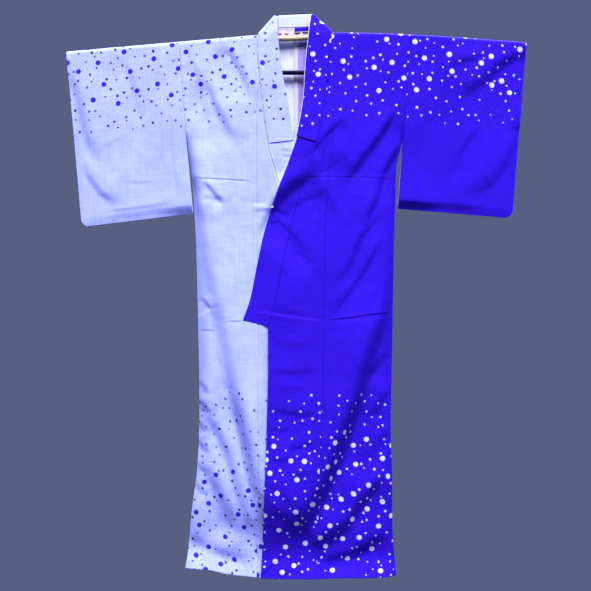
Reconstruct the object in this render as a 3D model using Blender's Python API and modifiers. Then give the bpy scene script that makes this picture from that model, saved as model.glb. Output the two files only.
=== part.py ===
"""A women's unlined kimono in two colours, half and half, hung on a rod.

Metres, +Z up. The front faces -Y, and left and right are the viewer's. The left half is pale and
lies under, the right half is blue and lies on top. The origin is the rod's axis at its middle.

A place on the body is given by its x and its drop, the distance below the rod at the middle. The
shared functions below turn both into a height and a depth, so that neighbouring pieces meet.
"""
import math

import bpy
from mathutils import Vector

# Walls and seams
CLOTH = 0.0012            # one layer of cloth
BAND = 0.0024             # the folded neckband
OVER = 0.0010             # the over-collar and the facing
SEAM_GAP = 0.0003         # between two pieces that are sewn together
NECK_GAP = 0.0007         # between the back panels and the neckband above them
LAY_GAP = 0.0007          # between the neckband and the over-collar that lies round it
SEWN_HALF = 0.00036       # from the middle plane to a panel's edge where front and back are sewn

# The rod and what hangs below it
ROD_RADIUS = 0.0075
ROD_HALF = 0.630          # half its length, just inside the cuffs
RAIL_RADIUS = 0.0055
RAIL_HALF = 0.190
RAIL_DROP = 0.0957
LINK_RADIUS = 0.0015
LINK_X = 0.150
SEAT_GAP = 0.0003

# The garment
LENGTH = 1.510            # from the rod to the hem
ARMHOLE = 0.2364          # drop where the sleeve's seam on the body ends
SLIT_END = 0.375          # drop where the side seam starts, below the side slit
SIDE_ROUND = 0.022        # reach of the rounding at a side seam
SLEEVE_ROUND = 0.012      # reach of the rounding at the sleeve's sewn edges
SLEEVE_CORNER = 0.022     # radius of the sleeve's lower outer corner
SLEEVE_TAPER = 0.004      # how much flatter the sleeve is at its bottom
CUFF_END = 0.47           # share of the sleeve's height where the cuff opening ends
FOLD_Y = 0.0125           # half depth of the fold over the rod
FOLD_Z = ROD_RADIUS + SEAT_GAP + CLOTH / 2          # its height over the rod's axis
COLLAR_FOLD_Z = ROD_RADIUS + SEAT_GAP * 2 + BAND / 2 + LAY_GAP + OVER
LIFT = 0.0065             # from the under front to the upper front
KICK_REACH = 0.050        # the last stretch above the hem, which turns forward
KICK_FRONT = 0.022
KICK_BACK = 0.006
COLLAR_TOP_Y = 0.004      # depth and half depth of the neckband's fold at its free edge
COLLAR_TOP_HALF = 0.005
COLLAR_CENTRE_Z = 0.0646  # height of the neckband's top edge at the centre back
COLLAR_TOP_DROPS = (0.004, 0.009, 0.018)            # extra stations below the neckband's fold
OVER_END = 0.295          # drop of the over-collar's lower end
OVER_START = 0.003        # from the neckband's seam to the over-collar's edge
FACING_HALF = 0.046       # half length of the facing
FACING_LOW = 0.50         # its lower and upper edge as shares of the neckband's width
FACING_HIGH = 0.96

# x, z of the rod's axis: the arms droop, and the right one hangs a little higher
ROD_LINE = (
    (-0.655, -0.0470), (-0.200, -0.0074), (-0.102, 0.0005), (0.000, 0.0000),
    (0.105, 0.0085), (0.150, 0.0085), (0.357, 0.0012), (0.665, -0.0205),
)
# x, drop of the hem
HEM_LINE = (
    (-0.310, 1.487), (-0.242, 1.491), (-0.189, 1.502), (-0.105, 1.508), (0.200, 1.509), (0.285, 1.504),
)
# drop, half depth added below the rod
BELLY = ((0.0, 0.0), (0.25, 0.005), (0.80, 0.012), (1.51, 0.016))

# drop, x of each half's side edge below the armhole
SIDE_PALE = (
    (ARMHOLE, -0.3063), (0.301, -0.2982), (0.357, -0.2912), (0.491, -0.2806), (0.609, -0.2758),
    (0.847, -0.2702), (1.029, -0.2674), (1.155, -0.2702), (1.239, -0.2758), (1.323, -0.2870),
    (1.407, -0.2954), (1.477, -0.3026), (1.510, -0.3080),
)
SIDE_BLUE = (
    (ARMHOLE, 0.3088), (0.301, 0.3010), (0.357, 0.2870), (0.427, 0.2842), (0.609, 0.2786),
    (0.861, 0.2730), (1.099, 0.2674), (1.197, 0.2702), (1.379, 0.2730), (1.455, 0.2786), (1.510, 0.2842),
)
# seam drop, seam x, edge x, edge drop: the neckband's front, from the shoulder down
COLLAR_PALE = (
    (0.000, -0.1020, -0.0520, -0.0620), (0.049, -0.1050, -0.0460, 0.0250), (0.108, -0.0980, -0.0378, 0.0908),
    (0.188, -0.0910, -0.0218, 0.1748), (0.304, -0.0722, -0.0042, 0.2950), (0.374, -0.0518, 0.0126, 0.3512),
    (0.469, -0.0266, 0.0378, 0.4436), (0.567, 0.0014, 0.0686, 0.5444), (0.665, 0.0294, 0.0938, 0.6424),
    (0.763, 0.0546, 0.1190, 0.7404), (0.808, 0.0658, 0.1330, 0.7880),
)
COLLAR_BLUE = (
    (0.000, 0.1040, 0.0492, -0.0660), (0.026, 0.1022, 0.0406, 0.0068), (0.108, 0.0938, 0.0322, 0.0908),
    (0.189, 0.0826, 0.0266, 0.1748), (0.298, 0.0630, 0.0070, 0.2784), (0.374, 0.0350, -0.0210, 0.3596),
    (0.449, 0.0098, -0.0473, 0.4268), (0.561, -0.0182, -0.0826, 0.5360), (0.665, -0.0406, -0.1050, 0.6396),
    (0.763, -0.0602, -0.1246, 0.7348), (0.808, -0.0742, -0.1436, 0.7880),
)
# drop, x of the seam between body and overlap panel, from its point at the neckband
OKUMI_PALE = ((0.120, -0.0970), (0.189, -0.1067), (0.735, -0.1022), (1.155, -0.0994), (1.510, -0.1060))
OKUMI_BLUE = (
    (0.120, 0.0925), (0.189, 0.1040), (0.250, 0.1080), (0.315, 0.1045), (0.413, 0.0935),
    (0.539, 0.0850), (0.791, 0.0805), (1.015, 0.0770), (1.200, 0.0700), (1.510, 0.0630),
)
# drop, x of the overlap panel's free edge below the neckband
OKUMI_EDGE_PALE = ((0.808, 0.0658), (1.510, 0.0658))
OKUMI_EDGE_BLUE = ((0.808, -0.0742), (0.959, -0.0742), (1.239, -0.0826), (1.510, -0.0938))
# x of the sleeve's upper corners on the rod, and x, z of its lower corners
SLEEVE_PALE = {
    "top_in": -0.3256, "top_out": -0.6400,
    "low_in": (-0.2856, -0.4912), "low_out": (-0.5936, -0.5305),
}
SLEEVE_BLUE = {
    "top_in": 0.3262, "top_out": 0.6510,
    "low_in": (0.2898, -0.4783), "low_out": (0.6118, -0.5050),
}
# upper x, upper drop, lower x, lower drop, half width, depth of each large fold
FRONT_FOLDS = (
    (-0.238, 0.705, -0.083, 1.310, 0.024, 0.010),
    (-0.273, 0.343, -0.226, 0.735, 0.022, 0.007),
    (-0.250, 1.010, -0.180, 1.180, 0.022, 0.006),
    (0.253, 0.287, 0.141, 0.416, 0.024, 0.008),
    (0.227, 0.610, 0.158, 0.726, 0.022, 0.006),
    (0.259, 0.774, 0.024, 1.359, 0.028, 0.014),
    (0.187, 1.308, 0.071, 1.457, 0.024, 0.008),
)
BACK_FOLDS = (
    (-0.245, 0.420, -0.150, 0.780, 0.024, 0.008),
    (-0.120, 0.860, -0.215, 1.380, 0.028, 0.012),
    (0.235, 0.380, 0.130, 0.700, 0.024, 0.008),
    (0.090, 0.900, 0.205, 1.400, 0.028, 0.012),
    (-0.040, 1.050, -0.060, 1.450, 0.024, 0.008),
)

# Grid of the sheets
ROW_STEP = 0.062
FLAT_COLUMNS = 6          # between a panel's inner edge and its side rounding
NECK_COLUMNS = 3          # back of the neck, from the centre to the shoulder
OKUMI_COLUMNS = 4
ROUND_STEPS = (90.0, 60.0, 30.0, 0.0)
FOLD_ANGLES = (-90.0, -55.0, -25.0, 0.0, 25.0, 55.0, 90.0)
BAND_ANGLES = (-90.0, -67.0, -45.0, -22.0, 0.0, 22.0, 45.0, 67.0, 90.0)
BAND_SHARES = (0.0, 0.25, 0.5, 0.75, 1.0)

# name: sRGB colour, roughness, metallic
COLOURS = {
    "pale_cloth": ((203, 217, 254), 0.80, 0.0),
    "blue_cloth": ((62, 33, 238), 0.75, 0.0),
    "white_cloth": ((240, 245, 252), 0.85, 0.0),
    "rod_wood": ((240, 232, 190), 0.50, 0.0),
    "rail_paint": ((14, 14, 60), 0.35, 0.0),
}


def smooth_at(rows, key, column=1):
    """A column's value at a key, on a smooth curve through the table's rows."""
    if key <= rows[0][0]:
        return rows[0][column]
    if key >= rows[-1][0]:
        return rows[-1][column]
    low = max(i for i in range(len(rows) - 1) if rows[i][0] <= key)

    def slope(i):
        before, after = rows[max(i - 1, 0)], rows[min(i + 1, len(rows) - 1)]
        return (after[column] - before[column]) / (after[0] - before[0])

    span = rows[low + 1][0] - rows[low][0]
    t = (key - rows[low][0]) / span
    start, end = rows[low][column], rows[low + 1][column]
    return ((2 * t**3 - 3 * t**2 + 1) * start + (t**3 - 2 * t**2 + t) * span * slope(low)
            + (3 * t**2 - 2 * t**3) * end + (t**3 - t**2) * span * slope(low + 1))


def ease(value, start, end):
    """0 before start, 1 after end, smooth between."""
    t = min(max((value - start) / (end - start), 0.0), 1.0)
    return t * t * (3.0 - 2.0 * t)


def mix(a, b, share):
    return a + (b - a) * share


def rounding(distance, reach):
    """Share of the full depth at a distance from a sewn edge: a quarter round."""
    inset = 1.0 - min(max(distance, 0.0), reach) / reach
    return math.sqrt(max(1.0 - inset * inset, 0.0))


def round_distances(reach):
    """Distances from a sewn edge where the quarter round has its points, the edge last."""
    return [reach * (1.0 - math.cos(math.radians(angle))) for angle in ROUND_STEPS]


# Height and depth of the garment

def rod_z(x):
    return smooth_at(ROD_LINE, x)


def height(x, drop):
    """Height of a place: rows run along the rod at the top and along the hem at the bottom."""
    share = drop / LENGTH
    return mix(rod_z(x), -smooth_at(HEM_LINE, x), share)


def folds(table, x, drop):
    """How far the folds push the cloth in at a place."""
    total = 0.0
    for top_x, top_drop, low_x, low_drop, half_width, depth in table:
        run = Vector((low_x - top_x, low_drop - top_drop))
        place = Vector((x - top_x, drop - top_drop))
        along = place.dot(run) / run.length_squared
        across = abs(place.x * run.y - place.y * run.x) / run.length
        ends = ease(along, -0.12, 0.25) * (1.0 - ease(along, 0.75, 1.12))
        total += depth * ends * math.exp(-(across / half_width) ** 2)
    return total


def lift(x, drop):
    """How far the blue front stands out where it lies on the pale one."""
    return LIFT * ease(drop, 0.12, 0.25) * (1.0 - ease(x, 0.155, 0.250))


def front_y(x, drop, upper):
    """Depth of the front's middle surface, of the upper or the under front."""
    out = FOLD_Y + smooth_at(BELLY, drop) - folds(FRONT_FOLDS, x, drop)
    out += KICK_FRONT * ease(drop, LENGTH - KICK_REACH, LENGTH + KICK_REACH * 0.4)
    return -out - (lift(x, drop) if upper else 0.0)


def back_y(x, drop):
    kick = KICK_BACK * ease(drop, LENGTH - KICK_REACH, LENGTH)
    return FOLD_Y + smooth_at(BELLY, drop) - folds(BACK_FOLDS, x, drop) - kick


def sleeve_seam_x(sleeve, z):
    """x of the sleeve's inner edge at a height: the line that the body's side follows above."""
    top = rod_z(sleeve["top_in"])
    return mix(sleeve["top_in"], sleeve["low_in"][0], (z - top) / (sleeve["low_in"][1] - top))


class Half:
    """One colour's half: its tables, its side (-1 left, 1 right) and whether its front lies on top."""

    def __init__(self, name, side, collar, okumi, okumi_edge, side_edge, sleeve):
        self.name = name
        self.side = side
        self.collar = collar
        self.okumi = okumi
        self.okumi_edge = okumi_edge
        self.side_edge = side_edge
        self.sleeve = sleeve
        self.upper = side > 0
        self.material = name + "_cloth"

    def side_x(self, drop):
        """x of the body's side edge, which is the sleeve's seam down to the armhole's end."""
        if drop > ARMHOLE:
            return smooth_at(self.side_edge, drop)
        x = self.sleeve["top_in"]
        for _ in range(3):
            x = sleeve_seam_x(self.sleeve, height(x, drop))
        return x

    def inner_x(self, drop):
        """x of the body front's inner edge: the neckband's seam, then the overlap panel's."""
        if drop < self.okumi[0][0]:
            return smooth_at(self.collar, drop)
        return smooth_at(self.okumi, drop)

    def overlap_x(self, drop):
        """x of the overlap panel's far edge: the neckband's seam, then its own free edge."""
        if drop < self.collar[-1][0]:
            return smooth_at(self.collar, drop)
        return smooth_at(self.okumi_edge, drop)

    def body_point(self, x, drop, back):
        """A point of the body's wall, rounded to the middle plane at the side seam."""
        front, rear = front_y(x, drop, self.upper), back_y(x, drop)
        middle = (front + rear) / 2.0
        facing = 1.0 if back else -1.0
        sewn = ease(drop, SLIT_END, SLIT_END + 0.04)
        share = 1.0 - sewn * (1.0 - rounding(abs(self.side_x(drop)) - abs(x), SIDE_ROUND))
        edge = middle + facing * SEWN_HALF
        return Vector((x, mix(edge, rear if back else front, share), height(x, drop)))


PALE = Half("pale", -1.0, COLLAR_PALE, OKUMI_PALE, OKUMI_EDGE_PALE, SIDE_PALE, SLEEVE_PALE)
BLUE = Half("blue", 1.0, COLLAR_BLUE, OKUMI_BLUE, OKUMI_EDGE_BLUE, SIDE_BLUE, SLEEVE_BLUE)


def drop_rows():
    """Drops of the body's rows below the fold over the rod, with one at the over-collar's end."""
    top = [0.0, ROW_STEP / 2.0]
    count = round((LENGTH - KICK_REACH - ROW_STEP) / ROW_STEP)
    long_run = [mix(ROW_STEP, LENGTH - KICK_REACH, i / count) for i in range(count + 1)]
    nearest = min(range(count + 1), key=lambda i: abs(long_run[i] - OVER_END))
    long_run[nearest] = OVER_END
    return top + long_run + [LENGTH - KICK_REACH * 0.5, LENGTH]


DROPS = drop_rows()


def over_rod(x, angle, fold_z):
    """A point of the fold over the rod: -90 is the front, 90 the back."""
    turn = math.radians(angle)
    return Vector((x, FOLD_Y * math.sin(turn), rod_z(x) + fold_z * math.cos(turn)))


# Making objects

def clear_scene():
    for thing in list(bpy.data.objects):
        bpy.data.objects.remove(thing, do_unlink=True)


def srgb_to_linear(value):
    share = value / 255.0
    return share / 12.92 if share <= 0.04045 else ((share + 0.055) / 1.055) ** 2.4


def make_material(name):
    colour, roughness, metallic = COLOURS[name]
    material = bpy.data.materials.new(name)
    material.use_nodes = True
    shader = material.node_tree.nodes["Principled BSDF"]
    shader.inputs["Base Color"].default_value = [srgb_to_linear(c) for c in colour] + [1.0]
    shader.inputs["Roughness"].default_value = roughness
    shader.inputs["Metallic"].default_value = metallic
    return material


def add_object(name, data, material):
    thing = bpy.data.objects.new(name, data)
    thing.data.materials.append(MATERIALS[material])
    COLLECTION.objects.link(thing)
    return thing


def make_sheet(name, rows, wall, material):
    """A wall round the middle surface of a grid; None in a row is where the cloth is cut away."""
    numbers, points = {}, []
    for r, row in enumerate(rows):
        for c, point in enumerate(row):
            if point is not None:
                numbers[r, c] = len(points)
                points.append(point)
    faces = []
    for r, row in enumerate(rows[:-1]):
        for c in range(len(row) - 1):
            corners = [(r, c), (r, c + 1), (r + 1, c + 1), (r + 1, c)]
            if all(corner in numbers for corner in corners):
                faces.append([numbers[corner] for corner in corners])
    mesh = bpy.data.meshes.new(name)
    mesh.from_pydata(points, [], faces)
    sheet = add_object(name, mesh, material)
    mesh.shade_smooth()
    solid = sheet.modifiers.new("wall", "SOLIDIFY")
    solid.thickness = wall
    solid.offset = 0.0
    return sheet


def make_bar(name, points, radius, material, resolution):
    """A round bar along points, with flat ends."""
    curve = bpy.data.curves.new(name, "CURVE")
    curve.dimensions = "3D"
    curve.bevel_depth = radius
    curve.bevel_resolution = resolution
    curve.use_fill_caps = True
    spline = curve.splines.new("POLY")
    spline.points.add(len(points) - 1)
    for spot, point in zip(spline.points, points):
        spot.co = (*point, 1.0)
    return add_object(name, curve, material)


# The pieces

def row_xs(inner, side, reach):
    """x of a row's points, evenly from the inner edge and then round the side."""
    turn = 1.0 if side > inner else -1.0
    start = side - turn * reach
    even = [mix(inner, start, i / FLAT_COLUMNS) for i in range(FLAT_COLUMNS)]
    return even + [side - turn * distance for distance in round_distances(reach)]


def make_body(half):
    """The front and the back, parted along the top of the fold over the rod, where each wall ends."""
    gap = half.side * SEAM_GAP / 2.0
    neck = half.collar[0][1] + gap
    cut_away = [None] * NECK_COLUMNS
    centre = [mix(gap, neck, i / NECK_COLUMNS) for i in range(NECK_COLUMNS)]
    shoulder = row_xs(neck, half.side_x(0.0) - gap, SIDE_ROUND)
    parting = math.degrees(math.asin(SEAM_GAP / 2.0 / FOLD_Y))
    over_front = [angle for angle in FOLD_ANGLES[1:] if angle < 0.0] + [-parting]
    over_back = [parting] + [angle for angle in FOLD_ANGLES[:-1] if angle > 0.0]
    front = []
    for drop in reversed(DROPS):
        xs = row_xs(half.inner_x(drop) + gap, half.side_x(drop) - gap, SIDE_ROUND)
        front.append([half.body_point(x, drop, back=False) for x in xs])
    front += [[over_rod(x, angle, FOLD_Z) for x in shoulder] for angle in over_front]
    back = [cut_away + [over_rod(x, angle, FOLD_Z) for x in shoulder] for angle in over_back]
    for drop in DROPS:
        xs = centre + row_xs(neck, half.side_x(drop) - gap, SIDE_ROUND)
        back.append([half.body_point(x, drop, back=True) for x in xs])
    make_sheet("front_" + half.name, front, CLOTH, half.material)
    make_sheet("back_" + half.name, back, CLOTH, half.material)


def make_okumi(half):
    """The overlap panel, from its point at the neckband down to the hem."""
    gap = half.side * SEAM_GAP / 2.0
    start = half.okumi[0][0]
    rows = []
    for drop in [start + 0.012] + [drop for drop in DROPS if drop > start + 0.02]:
        near, far = half.inner_x(drop) - gap, half.overlap_x(drop) + gap
        xs = [mix(near, far, i / OKUMI_COLUMNS) for i in range(OKUMI_COLUMNS + 1)]
        rows.append([Vector((x, front_y(x, drop, half.upper), height(x, drop))) for x in xs])
    make_sheet("okumi_" + half.name, rows, CLOTH, half.material)


def sleeve_point(sleeve, across, down, angle):
    """Sleeve point: across 0 inner to 1 outer, down 0 top to 1 bottom, angle -90 front or 90 back."""
    outer = 1.0 if sleeve["top_out"] > 0.0 else -1.0
    facing = 1.0 if angle > 0.0 else -1.0
    top_x = mix(sleeve["top_in"], sleeve["top_out"], across)
    low = Vector(sleeve["low_in"]).lerp(Vector(sleeve["low_out"]), across)
    x, z = mix(top_x, low.x, down), mix(rod_z(top_x), low.y, down)
    width = abs(sleeve["top_out"] - sleeve["top_in"])
    beside = max(1.0 - (1.0 - across) * width / SLEEVE_CORNER, 0.0)
    below = max(1.0 - (1.0 - down) * (rod_z(top_x) - low.y) / SLEEVE_CORNER, 0.0)
    # the grid's square corner is drawn in to a round one
    round_beside = beside * math.sqrt(1.0 - below * below / 2.0)
    round_below = below * math.sqrt(1.0 - beside * beside / 2.0)
    x -= outer * (beside - round_beside) * SLEEVE_CORNER
    z += (below - round_below) * SLEEVE_CORNER
    sewn = ease(down, CUFF_END - 0.03, CUFF_END + 0.03)
    edge = math.hypot(round_beside * sewn, round_below)
    share = rounding((1.0 - edge) * SLEEVE_CORNER, SLEEVE_ROUND)
    beside_body = FOLD_Y + smooth_at(BELLY, min(-z, ARMHOLE)) * (1.0 - ease(-z, ARMHOLE, ARMHOLE + 0.1))
    hanging = FOLD_Y - SLEEVE_TAPER * down
    full = mix(beside_body, hanging, ease(across, 0.0, 0.4))
    return Vector((x, facing * mix(SEWN_HALF, full, share), z))


def make_sleeve(half):
    """One length folded over the rod and sewn along the bottom and below the cuff."""
    sleeve = half.sleeve
    sleeve_height = abs(sleeve["low_in"][1])
    width = abs(sleeve["top_out"] - sleeve["top_in"])
    rounds = round_distances(SLEEVE_ROUND)
    across = [mix(SEAM_GAP / 2.0 / width, 1.0 - SLEEVE_CORNER / width, i / FLAT_COLUMNS)
              for i in range(FLAT_COLUMNS + 1)]
    across += [1.0 - distance / width for distance in rounds]
    steps = round(sleeve_height / ROW_STEP)
    down = [mix(0.0, 1.0 - SLEEVE_CORNER / sleeve_height, i / steps) for i in range(steps + 1)]
    down += [1.0 - distance / sleeve_height for distance in rounds]
    rows = [[sleeve_point(sleeve, a, d, -90.0) for a in across] for d in reversed(down)]
    for angle in FOLD_ANGLES[1:-1]:
        xs = [mix(sleeve["top_in"], sleeve["top_out"], a) for a in across]
        rows.append([over_rod(x, angle, FOLD_Z) for x in xs])
    rows += [[sleeve_point(sleeve, a, d, 90.0) for a in across] for d in down]
    make_sheet("sleeve_" + half.name, rows, CLOTH, half.material)


def collar_stations(half, end):
    """Points across the neckband, seam and free edge, from the centre back to the front's end."""
    gap = half.side * SEAM_GAP / 2.0
    neck = half.collar[0][1] - gap
    top_x, top_z = half.collar[0][2], -half.collar[0][3]
    pairs = []
    for i in range(NECK_COLUMNS):
        share = i / NECK_COLUMNS
        seam = over_rod(mix(gap, neck, share), 90.0, COLLAR_FOLD_Z)
        seam.z += NECK_GAP
        free_z = mix(COLLAR_CENTRE_Z, top_z, share)
        pairs.append((seam, Vector((mix(gap, top_x, share), COLLAR_TOP_Y + COLLAR_TOP_HALF, free_z))))
    for angle in reversed(BAND_ANGLES):
        seam = over_rod(neck, angle, COLLAR_FOLD_Z)
        seam.z += NECK_GAP * ease(angle, 0.0, 90.0)
        turn = math.radians(angle)
        free = Vector((top_x + half.side * COLLAR_TOP_HALF * math.cos(turn),
                       COLLAR_TOP_Y + COLLAR_TOP_HALF * math.sin(turn), top_z))
        pairs.append((seam, free))
    for drop in [*COLLAR_TOP_DROPS] + [drop for drop in DROPS if 0.0 < drop < end] + [end]:
        seam_x = smooth_at(half.collar, drop) - gap
        edge_x, edge_drop = smooth_at(half.collar, drop, 2), smooth_at(half.collar, drop, 3)
        seam = Vector((seam_x, front_y(seam_x, drop, half.upper), height(seam_x, drop)))
        above = ease(-edge_drop, ROD_RADIUS * 2.5, top_z)
        free_y = mix(front_y(edge_x, max(edge_drop, 0.0), half.upper), COLLAR_TOP_Y - COLLAR_TOP_HALF, above)
        pairs.append((seam, Vector((edge_x, free_y, height(edge_x, edge_drop)))))
    return pairs


def outward(pairs, i):
    """Normal of the neckband at a station, lengthened so that moved points keep their distance."""
    across = pairs[i][1] - pairs[i][0]
    normals = []
    for before, after in zip(pairs[max(i - 1, 0):i + 1], pairs[max(i, 1):i + 2]):
        along = (after[0] + after[1]) - (before[0] + before[1])
        normals.append(along.cross(across).normalized())
    mean = sum(normals, Vector()).normalized()
    return mean / mean.dot(normals[0])


def make_collar(half):
    """The neckband's half: the folded band as one wall."""
    pairs = collar_stations(half, half.collar[-1][0])
    rows = [[seam.lerp(free, share) for share in BAND_SHARES] for seam, free in pairs]
    make_sheet("collar_" + half.name, rows, BAND, half.material)


def make_over_collar(half):
    """The over-collar: a thin wall round the neckband's free edge, made from its points, moved out."""
    pairs = collar_stations(half, OVER_END)
    out = BAND / 2.0 + LAY_GAP + OVER / 2.0
    rows = []
    for i, (seam, free) in enumerate(pairs):
        across = (free - seam).normalized()
        normal = outward(pairs, i) * half.side
        flat = [seam + across * OVER_START] + [seam.lerp(free, share) for share in BAND_SHARES[1:-1]]
        row = [point + normal * out for point in flat]
        for angle in (90.0, 45.0, 0.0, -45.0, -90.0):
            turn = math.radians(angle)
            row.append(free + across * (out * math.cos(turn)) + normal * (out * math.sin(turn)))
        rows.append(row + [point - normal * out for point in reversed(flat)])
    make_sheet("over_collar_" + half.name, rows, OVER, half.material)


def make_facing():
    """The white band inside the back neck, moved in from the neckband's points."""
    inward = BAND / 2.0 + LAY_GAP + OVER + SEAM_GAP + OVER / 2.0
    rows = []
    for share in (-1.0, -0.5, 0.0, 0.5, 1.0):
        x = share * FACING_HALF
        half = BLUE if x > 0.0 else PALE
        top_x, top_z = half.collar[0][2], -half.collar[0][3]
        seam = over_rod(x, 90.0, COLLAR_FOLD_Z)
        free_z = mix(COLLAR_CENTRE_Z, top_z, x / top_x)
        free = Vector((x, COLLAR_TOP_Y + COLLAR_TOP_HALF, free_z))
        row = [seam.lerp(free, v) for v in (FACING_LOW, FACING_HIGH)]
        rows.append([point - Vector((0.0, inward, 0.0)) for point in row])
    make_sheet("collar_facing", rows, OVER, "white_cloth")


def make_hanger():
    """The rod, and the rail that two short links hold below it."""
    stations = 24
    xs = [mix(-ROD_HALF, ROD_HALF, i / stations) for i in range(stations + 1)]
    make_bar("hanging_rod", [Vector((x, 0.0, rod_z(x))) for x in xs], ROD_RADIUS, "rod_wood", 4)
    rail = [Vector((x, 0.0, -RAIL_DROP)) for x in (-RAIL_HALF, RAIL_HALF)]
    make_bar("lower_rail", rail, RAIL_RADIUS, "rail_paint", 4)
    for name, x in (("rail_link_left", -LINK_X), ("rail_link_right", LINK_X)):
        top = Vector((x, 0.0, rod_z(x) - ROD_RADIUS - SEAT_GAP))
        foot = Vector((x, 0.0, -RAIL_DROP + RAIL_RADIUS + SEAT_GAP))
        make_bar(name, [top, foot], LINK_RADIUS, "rail_paint", 2)


clear_scene()
COLLECTION = bpy.data.collections.new("kimono")
bpy.context.scene.collection.children.link(COLLECTION)
MATERIALS = {name: make_material(name) for name in COLOURS}
for half in (PALE, BLUE):
    make_body(half)
    make_okumi(half)
    make_sleeve(half)
    make_collar(half)
    make_over_collar(half)
make_facing()
make_hanger()
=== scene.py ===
"""Looks of the two-colour kimono on its rod: creased cloth, seams, scattered dots, thread and wood.

Metres, +Z up, the front faces -Y; only the tables of strokes are in millimetres. The cloth's walls
repeat the part's own construction: a place on the body is an x and a drop below the rod, which shared
functions turn into a height and a depth. Strokes on the front or the back push the cloth in.
"""
import math

import bpy
import numpy as np
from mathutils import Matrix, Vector


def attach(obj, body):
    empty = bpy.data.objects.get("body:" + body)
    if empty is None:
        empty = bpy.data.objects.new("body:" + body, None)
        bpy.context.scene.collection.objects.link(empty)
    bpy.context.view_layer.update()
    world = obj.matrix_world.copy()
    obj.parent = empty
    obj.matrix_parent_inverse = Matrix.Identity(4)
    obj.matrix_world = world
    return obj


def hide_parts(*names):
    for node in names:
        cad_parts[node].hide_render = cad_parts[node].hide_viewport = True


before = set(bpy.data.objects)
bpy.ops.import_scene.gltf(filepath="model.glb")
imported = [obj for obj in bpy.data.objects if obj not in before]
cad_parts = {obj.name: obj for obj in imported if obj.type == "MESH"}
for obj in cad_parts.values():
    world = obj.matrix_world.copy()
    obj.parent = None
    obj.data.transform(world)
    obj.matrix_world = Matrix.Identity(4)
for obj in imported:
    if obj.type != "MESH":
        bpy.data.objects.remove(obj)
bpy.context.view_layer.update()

# Walls and seams, as in the part
CLOTH = 0.0012
BAND = 0.0024
OVER = 0.0010
SEAM_GAP = 0.0003
NECK_GAP = 0.0007
LAY_GAP = 0.0007
SEWN_HALF = 0.00036
ROD_RADIUS = 0.0075
ROD_HALF = 0.630
PAINTED_RADIUS = 0.0064  # of the rail with its thick paint
RAIL_HALF = 0.190
RAIL_DROP = 0.0957
SEAT_GAP = 0.0003
LENGTH = 1.510
ARMHOLE = 0.2364
SLIT_END = 0.375
SIDE_ROUND = 0.022
SLEEVE_ROUND = 0.012
SLEEVE_CORNER = 0.022
SLEEVE_TAPER = 0.008
CUFF_END = 0.47  # share of the sleeve's height where its opening ends, and how softly
CUFF_EASE = 0.03
FOLD_Y = 0.0125
FOLD_Z = ROD_RADIUS + SEAT_GAP + CLOTH / 2
COLLAR_FOLD_Z = ROD_RADIUS + SEAT_GAP * 2 + BAND / 2 + LAY_GAP + OVER
LIFT = 0.0065
KICK_REACH = 0.050
KICK_FRONT = 0.022
KICK_BACK = 0.006
COLLAR_TOP_Y = 0.004
COLLAR_TOP_HALF = 0.005
COLLAR_CENTRE_Z = 0.0646
OVER_END = 0.295
OVER_START = 0.003
OVER_CLOSE = 0.0015
END_EDGE = 0.0005  # the last strip of a band, which keeps its end's edge crisp
FACING_HALF = 0.046

# Finer form of the cloth
SEAM_DIP = 0.0015  # how far a sewn edge turns in
SEAM_REACH = 0.0024
ALLOWANCE_STEP = 0.0006  # how far the seam allowance under it lifts the cloth
ALLOWANCE_REACH = 0.0105
OKUMI_ALLOWANCE = 0.0150  # the allowance of the overlap panel's seam, which widens to its top
OKUMI_WIDENING = 0.0130
OKUMI_WIDE_DROPS = (0.30, 0.54)  # between which it narrows again
FADE_BEFORE = 0.002  # how an allowance's step fades out round its edge
FADE_AFTER = 0.001
HEM_STEP = 0.0004  # how far a narrow turned hem stands out, and the hems' widths
OKUMI_HEM = 0.009
CUFF_HEM = 0.010
KICK_SHARE = 0.27  # share of the kick that the part's own curve reaches at the hem
KICK_BEND = 0.12  # how softly the kick starts, as a share of its reach
BULGE = 0.004  # the front swells, then falls back above the hem, where it faces the floor
BULGE_DROP = 1.240
BULGE_REACH = 0.110
HOLLOW = 0.013
HOLLOW_DROP = 1.448
HOLLOW_REACH = 0.060
SLEEVE_LEAST = 0.0030  # the sleeve's walls stay about this far from its middle
BODY_LEAST = 0.0060  # and the body's front from its back
HIDDEN_EASE = 0.024  # how far outside the upper front's edge the lower one starts to follow it
SOFT = 0.0016  # how softly those limits start
FLANK = 0.036  # reach of the slope down to a side seam
FLANK_POWER = 1.7
FLANK_LOOSE = 0.60  # share of that slope beside the slit, where front and back hang free
SEWN_IN = 0.04  # drops over which the slit's end closes, the slit opens and the seams start
FREED_IN = 0.06
SEAM_START = 0.01
SLEEVE_EDGE_POWER = 1.25
ARMHOLE_ENDS = (ARMHOLE - 0.004, ARMHOLE + 0.010)  # drops between which the sleeve's seam fades out
BELLY_FADE = 0.1  # drops below the armhole over which the sleeve leaves the body's belly
BESIDE_SHARE = 0.4  # of the sleeve's width, over which it leaves the body's depth

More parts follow.
